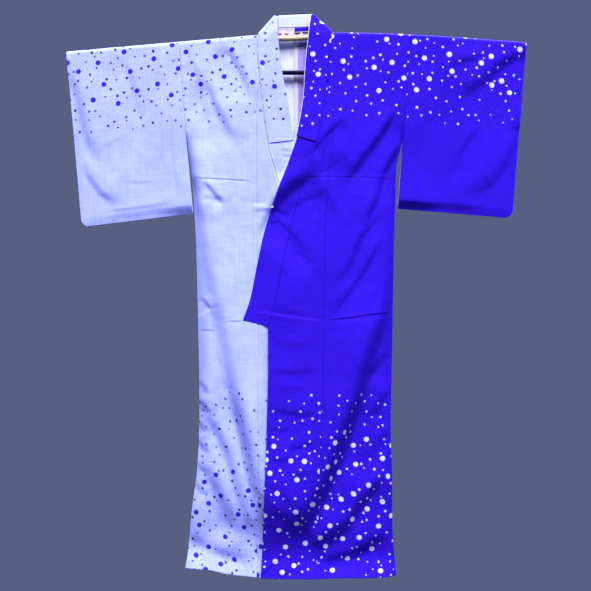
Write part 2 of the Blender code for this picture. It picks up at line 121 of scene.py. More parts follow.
NARROW_START = 0.7  # a stroke's width at its start and end, as shares of its usual one
WIDE_END = 1.15
LONG_SLOPE = 4.2  # how much longer the gentle side of a stroke is than the steep one
STROKE_ENDS = (-0.05, 0.25, 0.75, 1.05)  # shares of a stroke's length where it fades in and out
FOLD_ENDS = (-0.12, 0.25, 0.75, 1.12)  # the same for the part's own folds
SWELL_START = 0.9  # where the swell beside a trough rises, how softly, and its reach, in half widths
SWELL_SOFT = 0.6
SWELL_REACH = 4.5
LIFT_DROPS = (0.12, 0.25)  # where the fronts start to lift off the back, and are fully off it
LIFT_SIDES = (0.155, 0.250)  # and the x between which the right side loses that lift
LOOSE_DROP = 0.05  # below the rod, where the cloth is free to crease
FRONT_SEED = 3
BACK_SEED = 11
# the slight unevenness: height, number of waves, shortest and longest, and how much their crests may lean
UNEVENNESS = (
    (0.0012, 14, 0.08, 0.24, 0.6), (0.00022, 18, 0.028, 0.06, 1.0), (0.00010, 18, 0.012, 0.024, 1.0),
)
SLEEVE_UNEVENNESS = 0.8  # the sleeves' share of it
PHASES = 6.28  # range of the waves' starts

# Grid
FINE = 0.005  # usual step of the cloth's grid
CREASE_STEP = 0.0013  # step where storage creases cross it

# The part's edges: x and z of the rod, x and drop of the hem, drop and depth of the belly, drop and x of
# the side seams; for a neckband the drop and x of its seam, then the x and drop of its free edge
ROD_LINE = (
    (-0.655, -0.0470), (-0.200, -0.0074), (-0.102, 0.0005), (0.000, 0.0000),
    (0.105, 0.0085), (0.150, 0.0085), (0.357, 0.0012), (0.665, -0.0205),
)
HEM_LINE = (
    (-0.310, 1.490), (-0.242, 1.4945), (-0.189, 1.506), (-0.105, 1.512), (0.000, 1.515), (0.200, 1.515),
    (0.285, 1.509),
)
BELLY = ((0.0, 0.0), (0.25, 0.005), (0.80, 0.012), (1.51, 0.016))
SIDE_PALE = (
    (ARMHOLE, -0.3063), (0.301, -0.2982), (0.357, -0.2912), (0.491, -0.2806), (0.609, -0.2758),
    (0.847, -0.2702), (1.029, -0.2674), (1.155, -0.2702), (1.239, -0.2758), (1.323, -0.2870),
    (1.407, -0.2954), (1.477, -0.3026), (1.510, -0.3080),
)
SIDE_BLUE = (
    (ARMHOLE, 0.3088), (0.301, 0.3010), (0.357, 0.2870), (0.427, 0.2842), (0.609, 0.2786),
    (0.861, 0.2752), (1.099, 0.2710), (1.197, 0.2738), (1.379, 0.2760), (1.455, 0.2812), (1.510, 0.2850),
)
COLLAR_PALE = (
    (0.000, -0.1020, -0.0520, -0.0620), (0.049, -0.1050, -0.0460, 0.0250), (0.108, -0.0980, -0.0378, 0.0908),
    (0.188, -0.0910, -0.0218, 0.1748), (0.304, -0.0722, -0.0042, 0.2950), (0.374, -0.0518, 0.0126, 0.3512),
    (0.469, -0.0266, 0.0378, 0.4436), (0.567, 0.0014, 0.0686, 0.5444), (0.665, 0.0294, 0.0938, 0.6424),
    (0.763, 0.0546, 0.1190, 0.7404), (0.808, 0.0658, 0.1330, 0.7880),
)
COLLAR_BLUE = (
    (0.000, 0.1040, 0.0492, -0.0660), (0.026, 0.1022, 0.0406, 0.0068), (0.108, 0.0938, 0.0322, 0.0908),
    (0.189, 0.0826, 0.0266, 0.1748), (0.298, 0.0630, 0.0070, 0.2784), (0.374, 0.0350, -0.0210, 0.3596),
    (0.449, 0.0098, -0.0473, 0.4268), (0.561, -0.0182, -0.0826, 0.5360), (0.665, -0.0406, -0.1050, 0.6396),
    (0.763, -0.0602, -0.1246, 0.7348), (0.808, -0.0742, -0.1436, 0.7880),
)
# drop and x of the overlap panels' seams and free edges
OKUMI_PALE = ((0.120, -0.0970), (0.189, -0.1067), (0.735, -0.1022), (1.155, -0.0994), (1.510, -0.1060))
OKUMI_BLUE = (
    (0.120, 0.0925), (0.189, 0.1040), (0.250, 0.1080), (0.315, 0.1045), (0.413, 0.0935),
    (0.539, 0.0850), (0.791, 0.0805), (1.015, 0.0770), (1.200, 0.0700), (1.510, 0.0630),
)
OKUMI_EDGE_PALE = ((0.808, 0.0658), (1.510, 0.0658))
OKUMI_EDGE_BLUE = ((0.808, -0.0742), (0.959, -0.0742), (1.239, -0.0826), (1.510, -0.0938))
SLEEVE_PALE = {
    "top_in": -0.3256, "top_out": -0.6400,
    "low_in": (-0.2856, -0.4912), "low_out": (-0.5980, -0.5290),
}
SLEEVE_BLUE = {
    "top_in": 0.3262, "top_out": 0.6510,
    "low_in": (0.2898, -0.4783), "low_out": (0.6118, -0.5050),
}
# x and drop of each fold's upper and lower end, its half width and depth
BACK_FOLDS = (
    (-0.245, 0.420, -0.150, 0.780, 0.024, 0.008),
    (-0.120, 0.860, -0.215, 1.380, 0.028, 0.012),
    (0.235, 0.380, 0.130, 0.700, 0.024, 0.008),
    (0.090, 0.900, 0.205, 1.400, 0.028, 0.012),
    (-0.040, 1.050, -0.060, 1.450, 0.024, 0.008),
)


def strokes(*rows):
    """A table of strokes in metres, from rows in millimetres.

    A row is the half width and depth of a trough, the swell beside it as a share of the depth (for a
    stroke that runs down to the left, + on its right and - on its left), and the stroke's points, x and z.
    """
    return [(half_width / 1000.0, depth / 1000.0, swell, [(x / 1000.0, z / 1000.0) for x, z in points])
            for half_width, depth, swell, points in rows]


FRONT_CREASES = strokes(
    (33, 11.2, 0.9, ((-276, -500), (-260, -650), (-244, -749), (-222, -850), (-201, -950), (-180, -1040),
     (-155, -1150), (-132, -1270), (-108, -1400))),
    (26, 5.5, 0.9, ((-205, -930), (-180, -1040), (-155, -1150), (-132, -1270), (-105, -1430))),
    (26, 11.5, 0.8, ((-268, -1040), (-240, -1090), (-205, -1168), (-178, -1264), (-154, -1345),
     (-128, -1440))),
    (34, 11, 0.7, ((-330, -1400), (-286, -1432), (-234, -1458), (-190, -1476), (-146, -1494),
     (-110, -1508))),
    (30, 10.5, 0.5, ((-262, -1200), (-232, -1280), (-202, -1350), (-170, -1420))),
    (42, 13, 0.4, ((-292, -1080), (-268, -1200), (-242, -1320), (-205, -1440))),
    (9, 3.6, 0.6, ((-282, -960), (-262, -978), (-243, -1006))),
    (9, 4.2, 0.6, ((-284, -1010), (-266, -1026), (-240, -1060))),
    (9, 3.6, 0.6, ((-286, -1075), (-268, -1090), (-250, -1112))),
    (10, 4.2, 0.6, ((-290, -1128), (-272, -1142), (-246, -1172))),
    (9, 3.4, 0.6, ((-294, -1190), (-276, -1202), (-252, -1228))),
    (10, 4, 0.6, ((-298, -1248), (-280, -1262), (-252, -1292))),
    (17, 11, 0.8, ((-307, -285), (-301, -360), (-294, -440), (-290, -520))),
    (15, 6, 0.6, ((-210, -10), (-172, -77), (-150, -122), (-135, -180))),
    (18, 5.8, 0.8, ((-262, -110), (-236, -185), (-205, -250), (-176, -310))),
    (12, 3.5, 0.6, ((-290, -60), (-268, -150), (-262, -230))),
    (9, 4.5, 0.6, ((-255, -405), (-236.6, -431.3), (-200.2, -474.3))),
    (7, 3.5, 0.6, ((-263, -729), (-237, -766))),
    (16.5, 8.5, -0.9, ((295, -195), (290, -213), (275.8, -237.8), (247, -286.8), (214.2, -330.5),
     (194, -359.6), (174.2, -386.6), (147.8, -419.8))),
    (14, 8, -0.7, ((310, -290), (260.4, -380.1), (240, -456.4), (200, -550))),
    (14, 5, -0.7, ((250, -490), (193, -567), (165, -638), (130, -710))),
    (12, 4.2, -0.7, ((250, -560), (218, -630), (187, -681), (150, -735), (110, -790))),
    (35, 21, -0.8, ((290, -700), (273, -770), (252, -840), (228, -920), (206, -990), (184, -1060),
     (162, -1130), (138, -1200), (108, -1275), (70, -1345), (30, -1395), (-10, -1430))),
    (32, 11.5, -0.7, ((212, -970), (184, -1060), (162, -1130), (138, -1200), (108, -1275), (70, -1345),
     (30, -1395), (-20, -1440))),
    (30, 16.5, -0.8, ((262, -1230), (220, -1293), (168, -1374), (130, -1410), (80, -1450), (40, -1470))),
    (26, 13, -0.6, ((262, -1400), (212, -1445), (160, -1472), (100, -1486), (40, -1492))),
    (16, 4.5, -0.5, ((272, -880), (250, -915), (222, -960))),
    (16, 4.5, -0.5, ((276, -985), (250, -1030), (220, -1080))),
    (20, 5.5, -0.5, ((276, -1100), (246, -1150), (210, -1210))),
    (30, 3.5, 0.3, ((-110, -1310), (-20, -1375), (60, -1415), (120, -1430))),
    (14, 3, -0.6, ((100, -430), (50, -455), (0, -480), (-45, -500))),
    (12, 5, -0.6, ((140, -230), (100, -275), (70, -310), (45, -340))),
    (10, 2.6, 0.5, ((-60, -500), (-20, -545), (12, -588), (40, -622))),
    (7, 2.2, 0.4, ((1, -598), (27, -617), (52, -641))),
    (8, 3, -0.5, ((95, -275), (85, -330), (78, -400))),
    # the overlap panel's cross ripples
    (10, 1.2, 0.5, ((-62, -862), (10, -870), (66, -866))),
    (10, 1.9, 0.5, ((-60, -938), (-10, -945), (62, -940))),
    (9, 1.3, 0.5, ((-56, -984), (-12, -994), (32, -990))),
    (11, 3.2, 0.5, ((-64, -1044), (-20, -1058), (30, -1064), (64, -1054))),
    (8, 2.6, 0.5, ((-66, -1094), (-36, -1106), (-8, -1100))),
    (9, 3, 0.5, ((-18, -1154), (20, -1150), (58, -1134))),
    (9, 2.8, 0.5, ((-68, -1178), (-40, -1190), (-2, -1186))),
    (10, 2, 0.5, ((-20, -1226), (15, -1230), (46, -1218))),
    # storage creases
    (1.5, 0.9, 0.7, ((-287, -393), (-197, -397), (-108, -404))),
    (1.5, 0.6, 0.7, ((15, -389), (155, -390), (284, -396))),
    (4, 1.4, 0.6, ((-262, -446), (-230, -452), (-195, -452))),
    (3.4, 1.7, -0.8, ((-118, -761), (-13, -779), (76, -789))),
    (2.2, 1.4, 0.7, ((90, -792), (161, -785), (211, -777), (273, -771))),
    (2.2, 1, 0.7, ((-270, -819), (-223, -822))),
    (2.2, 0.8, 0.7, ((-186, -795), (-144, -796))),
    (3, 1.4, 0.7, ((-71, -517), (-44, -521))),
    (3, 1.2, 0.7, ((-31, -563), (-10, -565))),
    (4, 1.4, 0.5, ((-38, -314), (-10, -321))),
    (4, 1.6, 0.5, ((-36, -331), (-6, -336))),
    (4, 1.2, 0.5, ((-30, -349), (-2, -352))),
    # pulled cloth round the tack
    (5, 2.2, 0.5, ((-66, -472), (-92, -466), (-122, -464))),
    (5, 1.8, -0.5, ((-66, -479), (-90, -486), (-116, -490))),
    (5, 1.4, 0.4, ((-64, -484), (-76, -502), (-83, -522))),
    (5, 2, 0.4, ((-58, -478), (-34, -494), (-10, -500))),
)
# the deep valley that the tack draws; the lower front follows it only under the upper one
TACK_CREASES = strokes(
    (29, 14.5, -0.7, ((65, -388), (20, -420), (-18, -454), (-58, -502), (-115, -572))),
    (36, 4.5, -0.5, ((165, -338), (110, -364), (60, -392), (20, -420))),
)
# on the lower front alone: where it dips under the upper one's edge, and its lean above the hem
UNDER_CREASES = strokes(
    (26, 15, -0.2, ((-78, -800), (-70, -950), (-76, -1150), (-88, -1330), (-90, -1460))),
    (38, 17, 0.15, ((-190, -1000), (-165, -1120), (-130, -1260), (-100, -1380), (-80, -1470))),
    (140, 15, 1.2, ((-420, -1440), (-200, -1480), (-60, -1500))),
)
BACK_CREASES = strokes(
    (14, 7, 0.8, ((-245, -430), (-215, -560), (-180, -690), (-150, -790))),
    (15, 8, -0.8, ((-120, -860), (-150, -1010), (-185, -1190), (-215, -1370))),
    (14, 7, -0.8, ((235, -380), (190, -500), (150, -620), (130, -700))),
    (15, 8, 0.8, ((90, -900), (130, -1060), (170, -1230), (205, -1390))),
    (12, 5, 0.6, ((-40, -1050), (-45, -1250), (-60, -1440))),
    (10, 4, 0.6, ((-285, -250), (-240, -330), (-215, -420))),
    (10, 4, -0.6, ((285, -250), (250, -320), (225, -400))),
    (11, 4, 0.5, ((20, -180), (60, -330), (75, -450))),
    (12, 5, -0.6, ((250, -1150), (215, -1290), (190, -1430))),
    (12, 5, 0.6, ((-255, -950), (-235, -1080), (-225, -1200))),
    (1.5, 0.9, 0.7, ((-280, -396), (-100, -398), (-5, -396))),
    (1.5, 0.9, 0.7, ((5, -394), (140, -395), (280, -392))),
    (2.5, 1.4, 0.7, ((-265, -780), (-120, -786), (-6, -784))),
    (2.5, 1.4, 0.7, ((6, -786), (150, -783), (268, -776))),
)
SLEEVE_CREASES = strokes(
    (24, 8.5, 0.6, ((-640, -90), (-622, -190), (-606, -270), (-584, -330), (-556, -370))),
    (21, 8.5, 0.6, ((-618, -320), (-596, -395), (-560, -450), (-500, -490))),
    (14, 3, 0.8, ((-620, -522), (-450, -507), (-270, -486))),
    (4, 1.2, 0.7, ((-576, -493), (-452, -481), (-329, -463))),
    (3, 0.8, 0.7, ((-463, -407), (-399, -406))),
    (3.5, 1.2, 0.6, ((-352, -150), (-345, -316), (-326, -455))),
    (10, 2.5, 0.5, ((-480, -60), (-455, -150), (-440, -230))),
    (26, 8, -0.8, ((690, -12), (661, -38), (589, -92), (547, -134), (505, -164), (455, -190))),
    (16, 4, -0.6, ((560, -30), (500, -70), (430, -90))),
    (28, 7.5, -0.6, ((645, -280), (615, -360), (570, -425), (480, -470))),
    (18, 6, 0.9, ((230, -476), (340, -480), (395, -486), (489, -495), (630, -505))),
    (10, 3, -0.5, ((520, -250), (470, -330), (450, -400))),
    (3.5, 1.2, -0.6, ((356, -150), (349, -316), (330, -445))),
)
SLEEVE_BACK_CREASES = strokes(
    (14, 5.5, 0.6, ((-600, -120), (-560, -220), (-500, -290))),
    (13, 5, 0.6, ((-360, -250), (-390, -360), (-440, -440))),
    (14, 5.5, -0.6, ((610, -150), (560, -260), (490, -320))),
    (13, 5, -0.6, ((350, -260), (390, -350), (450, -430))),
)


def mix(a, b, share):
    return a + (b - a) * share


def ease(value, start, end):
    """0 before start, 1 after end, smooth between."""
    t = np.clip((value - start) / (end - start), 0.0, 1.0)
    return t * t * (3.0 - 2.0 * t)


def at_least(value, least):
    """The value, eased so that it never falls below the least."""
    spare = value - least
    return least + 0.5 * (spare + np.sqrt(spare * spare + SOFT**2))


def smooth_at(rows, key, column=1):
    """A column's values at keys, on a smooth curve through the table's rows."""
    table = np.array(rows)
    keys, values = table[:, 0], table[:, column]
    key = np.clip(key, keys[0], keys[-1])
    last = len(keys) - 1
    before, after = np.maximum(np.arange(last + 1) - 1, 0), np.minimum(np.arange(last + 1) + 1, last)
    slopes = (values[after] - values[before]) / (keys[after] - keys[before])
    low = np.clip(np.searchsorted(keys, key, side="right") - 1, 0, last - 1)
    span = keys[low + 1] - keys[low]
    t = (key - keys[low]) / span
    return ((2 * t**3 - 3 * t**2 + 1) * values[low] + (t**3 - 2 * t**2 + t) * span * slopes[low]
            + (3 * t**2 - 2 * t**3) * values[low + 1] + (t**3 - t**2) * span * slopes[low + 1])


def spaced(start, end, step, bands=()):
    """Positions from start to end, closer in each band (low, high, step)."""
    spots = [start]
    while spots[-1] < end - 1e-6:
        here = [fine for low, high, fine in bands if low <= spots[-1] < high]
        spots.append(spots[-1] + min([step] + here))
    return np.array(spots[:-1] + [end])


def stack(x, y, z):
    return np.stack(np.broadcast_arrays(x, y, z), axis=-1).astype(float)


# Height and depth of the garment

def rod_z(x):
    return smooth_at(ROD_LINE, x)


def height(x, drop):
    return mix(rod_z(x), -smooth_at(HEM_LINE, x), drop / LENGTH)


def faded(along, ends):
    """1 along the middle of a stroke, 0 past its ends."""
    return ease(along, ends[0], ends[1]) * (1.0 - ease(along, ends[2], ends[3]))


def folds(table, x, drop):
    """The part's large folds."""
    total = np.zeros(np.broadcast(x, drop).shape)
    for top_x, top_drop, low_x, low_drop, half_width, depth in table:
        run_x, run_drop = low_x - top_x, low_drop - top_drop
        length_squared = run_x**2 + run_drop**2
        along = ((x - top_x) * run_x + (drop - top_drop) * run_drop) / length_squared
        across = np.abs((x - top_x) * run_drop - (drop - top_drop) * run_x) / math.sqrt(length_squared)
        total = total + depth * faded(along, FOLD_ENDS) * np.exp(-(across / half_width) ** 2)
    return total


def creases(table, x, z):
    """How far the strokes push the cloth in at a place: steep toward the swell, gentle away from it."""
    x, z = np.broadcast_arrays(x, z)
    total = np.zeros(x.shape)
    for half_width, depth, swell, points in table:
        near, signed, along = np.full(x.shape, 1e9), np.zeros(x.shape), np.zeros(x.shape)
        lengths = [math.dist(a, b) for a, b in zip(points, points[1:])]
        done = 0.0
        for (x0, z0), (x1, z1), length in zip(points, points[1:], lengths):
            run_x, run_z = (x1 - x0) / length, (z1 - z0) / length
            s = np.clip((x - x0) * run_x + (z - z0) * run_z, 0.0, length)
            distance = np.hypot(x - x0 - run_x * s, z - z0 - run_z * s)
            side = run_x * (z - z0) - run_z * (x - x0)
            closer = distance < near
            near = np.where(closer, distance, near)
            signed = np.where(closer, distance * np.sign(side), signed)
            along = np.where(closer, (done + s) / sum(lengths), along)
            done += length
        signed = signed * math.copysign(1.0, swell) / (half_width * mix(NARROW_START, WIDE_END, along))
        trough = np.exp(-np.where(signed > 0.0, signed, signed / LONG_SLOPE) ** 2)
        rise = 0.5 * (1.0 + np.tanh((signed - SWELL_START) / SWELL_SOFT))
        beside = rise * np.exp(-(np.maximum(signed, 0.0) / SWELL_REACH) ** 2)
        total += depth * faded(along, STROKE_ENDS) * (trough - abs(swell) * beside)
    return total


def ripples(x, z, seed, count, shortest, longest, lean):
    """Irregular waves of height about 1, on lines that wander. A small lean keeps their crests upright."""
    draw = np.random.default_rng(seed)
    bent_x = x + 0.012 * np.sin(9.0 * z + seed) + 0.006 * np.sin(23.0 * z - 7.0 * x)
    bent_z = z + 0.015 * np.sin(8.0 * x + 2.0 * seed)
    total, weight = 0.0, 0.0
    for _ in range(count):
        length = shortest * (longest / shortest) ** draw.random()
        turn = (draw.random() - 0.5) * math.pi * lean
        wave = 2.0 * math.pi / length
        shape = np.sin(wave * (bent_x * math.cos(turn) + bent_z * math.sin(turn)) + draw.random() * PHASES)
        total = total + length * shape
        weight += length * length
    return total / math.sqrt(weight)


def lift(x, drop):
    return LIFT * ease(drop, *LIFT_DROPS) * (1.0 - ease(x, *LIFT_SIDES))


def hang(x, z, seed):
    """The cloth's slight unevenness, from broad waves to fine rumples."""
    return sum(high * ripples(x, z, seed + i, *waves) for i, (high, *waves) in enumerate(UNEVENNESS))


def front_y(x, drop, upper):
    """Depth of the upper or the lower front's wall."""
    z = height(x, drop)
    out = FOLD_Y + smooth_at(BELLY, drop)
    kick = np.maximum((drop - LENGTH + KICK_REACH) / KICK_REACH, 0.0)
    out = out + KICK_FRONT * KICK_SHARE * kick * kick / (kick + KICK_BEND)
    out = out + BULGE * np.exp(-((drop - BULGE_DROP) / BULGE_REACH) ** 2)
    out = out - HOLLOW * np.exp(-((drop - HOLLOW_DROP) / HOLLOW_REACH) ** 2)
    loose = ease(drop, 0.0, LOOSE_DROP)
    out = out - loose * (creases(FRONT_CREASES, x, z) + hang(x, z, FRONT_SEED))
    valley = loose * creases(TACK_CREASES, x, z)
    if upper:
        y = valley - out - lift(x, drop)
    else:
        edge = np.interp(-z, [row[3] for row in COLLAR_BLUE], [row[2] for row in COLLAR_BLUE])
        y = valley * ease(x, edge - HIDDEN_EASE, edge) - out + creases(UNDER_CREASES, x, z)
    rear = back_y(x, drop)
    return rear - at_least(rear - y, BODY_LEAST)


def back_y(x, drop):
    z = height(x, drop)
    kick = KICK_BACK * ease(drop, LENGTH - KICK_REACH, LENGTH)
    loose = ease(drop, 0.0, LOOSE_DROP)
    relief = loose * (creases(BACK_CREASES, x, z) + hang(x, z, BACK_SEED))
    return FOLD_Y + smooth_at(BELLY, drop) - folds(BACK_FOLDS, x, drop) - kick - relief


def sewn_edge(distance, allowance=ALLOWANCE_REACH):
    """How far a seam pulls the cloth in at a distance from it, less what the allowance lifts it."""
    dip = SEAM_DIP * np.exp(-(distance / SEAM_REACH) ** 2)
    return dip - ALLOWANCE_STEP * (1.0 - ease(distance, allowance - FADE_BEFORE, allowance + FADE_AFTER))


def turned_hem(distance, width):
    return HEM_STEP * (1.0 - ease(distance, width - 0.001, width + 0.001))


def above_armhole(drop):
    """1 beside the sleeve, 0 below the armhole."""
    return 1.0 - ease(drop, *ARMHOLE_ENDS)


def sleeve_seam_x(sleeve, z):
    top = rod_z(sleeve["top_in"])
    return mix(sleeve["top_in"], sleeve["low_in"][0], (z - top) / (sleeve["low_in"][1] - top))


class Half:
    """One colour's half: its looks, its side (-1 left, 1 right), its tables, whether its front is on top."""

    def __init__(self, name, side, collar, okumi, okumi_edge, side_edge, sleeve):
        self.name = name
        self.looks = (name + "_cloth", name + "_reverse")
        self.side = side
        self.collar = collar
        self.okumi = okumi
        self.okumi_edge = okumi_edge
        self.side_edge = side_edge
        self.sleeve = sleeve
        self.upper = side > 0

    def side_x(self, drop):
        drop = np.asarray(drop, float)
        x = np.full(drop.shape, self.sleeve["top_in"])
        for _ in range(3):
            x = sleeve_seam_x(self.sleeve, height(x, drop))
        return np.where(drop > ARMHOLE, smooth_at(self.side_edge, drop), x)

    def inner_x(self, drop):
        return np.where(drop < self.okumi[0][0], smooth_at(self.collar, drop), smooth_at(self.okumi, drop))

    def overlap_x(self, drop):
        low = smooth_at(self.okumi_edge, drop)
        return np.where(drop < self.collar[-1][0], smooth_at(self.collar, drop), low)

    def body_point(self, x, drop, back):
        """A point of the body's wall, rounded to the middle plane at the side seam."""
        from_side = np.abs(self.side_x(drop)) - np.abs(x)
        from_inner = np.abs(x) if back else np.abs(x - self.inner_x(drop))
        low = ease(drop, 0.0, SEAM_START)
        pull = low * (sewn_edge(from_inner) + above_armhole(drop) * sewn_edge(np.abs(from_side)))
        front = front_y(x, drop, self.upper) + (0.0 if back else pull)
        rear = back_y(x, drop) - (pull if back else 0.0)
        middle = (front + rear) / 2.0
        facing = 1.0 if back else -1.0
        sewn = ease(drop, SLIT_END, SLIT_END + SEWN_IN)
        slope = (1.0 - np.clip(from_side / FLANK, 0.0, 1.0)) ** FLANK_POWER
        below = ease(drop, ARMHOLE, ARMHOLE + FREED_IN)
        share = 1.0 - slope * mix(FLANK_LOOSE * below, 1.0, sewn)
        edge = middle + facing * SEWN_HALF
        return stack(x, mix(edge, rear if back else front, share), height(x, drop))


PALE = Half("pale", -1.0, COLLAR_PALE, OKUMI_PALE, OKUMI_EDGE_PALE, SIDE_PALE, SLEEVE_PALE)
BLUE = Half("blue", 1.0, COLLAR_BLUE, OKUMI_BLUE, OKUMI_EDGE_BLUE, SIDE_BLUE, SLEEVE_BLUE)


def over_rod(x, angle, fold_z):
    """A point of the fold over the rod: -90 is the front, 90 the back."""
    turn = np.radians(angle)
    return stack(x, FOLD_Y * np.sin(turn), rod_z(x) + fold_z * np.cos(turn))


# Materials

def srgb(*colour):
    """A linear colour from its sRGB values, 0 to 255."""
    shares = [c / 255.0 for c in colour]
    return tuple(s / 12.92 if s <= 0.04045 else ((s + 0.055) / 1.055) ** 2.4 for s in shares) + (1.0,)


class Nodes:
    """Adds shader nodes to a tree in short calls; a value is a number, a colour or another socket."""

    def __init__(self, tree):
        self.tree = tree

    def put(self, socket, value):
        if isinstance(value, bpy.types.NodeSocket):
            self.tree.links.new(value, socket)
        else:
            socket.default_value = value

    def node(self, kind, inputs=(), **settings):
        """A node with its settings, and some inputs given by name or in their order."""
        made = self.tree.nodes.new(kind)
        for key, value in settings.items():
            setattr(made, key, value)
        for key, value in inputs.items() if isinstance(inputs, dict) else enumerate(inputs):
            self.put(made.inputs[key], value)
        return made

    def math(self, operation, *values):
        return self.node("ShaderNodeMath", values, operation=operation).outputs[0]

    def scale(self, vector, factors):
        return self.node("ShaderNodeVectorMath", (vector, factors), operation="MULTIPLY").outputs[0]

    def add(self, vector, offset):
        return self.node("ShaderNodeVectorMath", (vector, offset), operation="ADD").outputs[0]

    def turn(self, vector, angle):
        inputs = {"Vector": vector, "Angle": angle}
        return self.node("ShaderNodeVectorRotate", inputs, rotation_type="Z_AXIS").outputs[0]

    def ramp(self, value, low, high, to_low=0.0, to_high=1.0):
        inputs = (value, low, high, to_low, to_high)
        return self.node("ShaderNodeMapRange", inputs, interpolation_type="SMOOTHSTEP").outputs[0]

    def noise(self, vector, scale, detail=2.0, roughness=0.5):
        inputs = {"Vector": vector, "Scale": scale, "Detail": detail, "Roughness": roughness}
        return self.node("ShaderNodeTexNoise", inputs).outputs["Fac"]

    def voronoi(self, vector, randomness):
        inputs = {"Vector": vector, "Scale": 1.0, "Randomness": randomness}
        return self.node("ShaderNodeTexVoronoi", inputs, voronoi_dimensions="2D", feature="F1").outputs

    def mix(self, share, a, b, blend="MIX"):
        inputs = {"Factor": share, "A": a, "B": b}
        return self.node("ShaderNodeMix", inputs, data_type="RGBA", blend_type=blend).outputs["Result"]

    def parts(self, vector):
        return self.node("ShaderNodeSeparateXYZ", (vector,)).outputs

    def place(self):
        return self.node("ShaderNodeTexCoord").outputs["Object"]

    def bump(self, value, distance, strength, normal=None):
        inputs = {"Height": value, "Distance": distance, "Strength": strength}
        if normal is not None:
            inputs["Normal"] = normal
        return self.node("ShaderNodeBump", inputs).outputs["Normal"]


def paint(nodes, shader, colour, rough, normal):
    """Connects what varies over a surface."""
    nodes.put(shader.inputs["Base Color"], colour)
    nodes.put(shader.inputs["Roughness"], rough)
    nodes.put(shader.inputs["Normal"], normal)


def new_material(name, roughness):
    material = bpy.data.materials.new(name)
    material.use_nodes = True
    shader = material.node_tree.nodes["Principled BSDF"]
    shader.inputs["Roughness"].default_value = roughness
    return material, shader, Nodes(material.node_tree)


# The scattered dots: cell size, radius and its least share, edge softness, evenness (1 at random, 0 on a
# grid), share of the cells with a dot, and the drops where they fade out and in (start, end)
BIG_RADIUS = 0.0075
SMALL_RADIUS = 0.0037
BIG_SHOULDER = (0.0625, BIG_RADIUS, 0.92, 0.0010, 0.54, 0.98, (0.140, 0.192), None)
BIG_HEM = (0.0560, BIG_RADIUS, 0.92, 0.0010, 0.56, 0.98, None, (1.080, 1.170))
SMALL_DOTS = (0.0300, SMALL_RADIUS, 0.52, 0.0008, 0.74, 0.95, (0.238, 0.262), (0.995, 1.055))
SPECKS = (0.0060, 0.0017, 0.50, 0.0006, 1.0, 0.75, (0.235, 0.262), (1.000, 1.090))
PALE_SMALL = 0.0006  # how much larger the small dots are on the pale half
SMALL_FAINT = 0.30  # of its strength that the faintest small dot lacks
SPARE = 0.0022  # clear cloth round a large dot
PALE_BIG_LOWER = 0.085  # how much lower the large dots start on the pale half's hem
HALF_DROP = 0.6  # where the shoulder's scatter gives way to the hem's
TURN = math.radians(27.0)  # of the cells, so that no row runs level
SHIFTS = {"big_hem": 19.0, "small": 37.0, "specks": 113.0}


def cells(nodes, flat, layer, shift):
    """The cell pattern of a layer: its nearest dot's distance, colour and centre, in metres."""
    cell, evenness = layer[0], layer[4]
    place = nodes.scale(nodes.turn(flat, TURN), (1.0 / cell, 1.0 / cell, 0.0))
    spots = nodes.voronoi(nodes.add(place, (shift, shift, 0.0)), evenness)
    centre = nodes.scale(nodes.add(spots["Position"], (-shift, -shift, 0.0)), (cell, cell, 0.0))
    return nodes.math("MULTIPLY", spots["Distance"], cell), spots["Color"], nodes.turn(centre, -TURN)


def dot_layer(nodes, flat, layer, shift, lower=0.0, larger=0.0, faint=0.0):
    """How much one layer of dots shows, 0 outside a dot and at most 1 inside, and the dots' centres."""
    _, radius, least, soft, _, share, fade_out, fade_in = layer
    away, draw, centre = cells(nodes, flat, layer, shift)
    draws = nodes.node("ShaderNodeSeparateColor", (draw,))
    drop = nodes.math("ABSOLUTE", nodes.parts(centre)[1])
    chance = nodes.ramp(drop, *fade_out, share, 0.0) if fade_out else 0.0
    if fade_in:
        start, end = fade_in
        chance = nodes.math("ADD", nodes.ramp(drop, start + lower, end + lower, 0.0, share), chance)
    shown = nodes.math("LESS_THAN", draws.outputs[0], chance)
    size = nodes.math("MULTIPLY_ADD", draws.outputs[1], radius * (1.0 - least), radius * least)
    inside = nodes.ramp(nodes.math("SUBTRACT", away, size), larger - soft, larger + soft, 1.0, 0.0)
    strength = nodes.math("MULTIPLY_ADD", draws.outputs[2], -faint, 1.0)
    return nodes.math("MULTIPLY", shown, nodes.math("MULTIPLY", inside, strength)), centre


def clear_of_big(nodes, centre):
    """1 where a small dot at this centre stays clear of the large ones."""
    low = nodes.math("GREATER_THAN", nodes.math("ABSOLUTE", nodes.parts(centre)[1]), HALF_DROP)
    shoulder, _, _ = cells(nodes, centre, BIG_SHOULDER, 0.0)
    hem, _, _ = cells(nodes, centre, BIG_HEM, SHIFTS["big_hem"])
    away = nodes.math("ADD", nodes.math("MULTIPLY", hem, low),
                      nodes.math("MULTIPLY", shoulder, nodes.math("SUBTRACT", 1.0, low)))
    return nodes.math("GREATER_THAN", away, BIG_RADIUS + SMALL_RADIUS + SPARE)


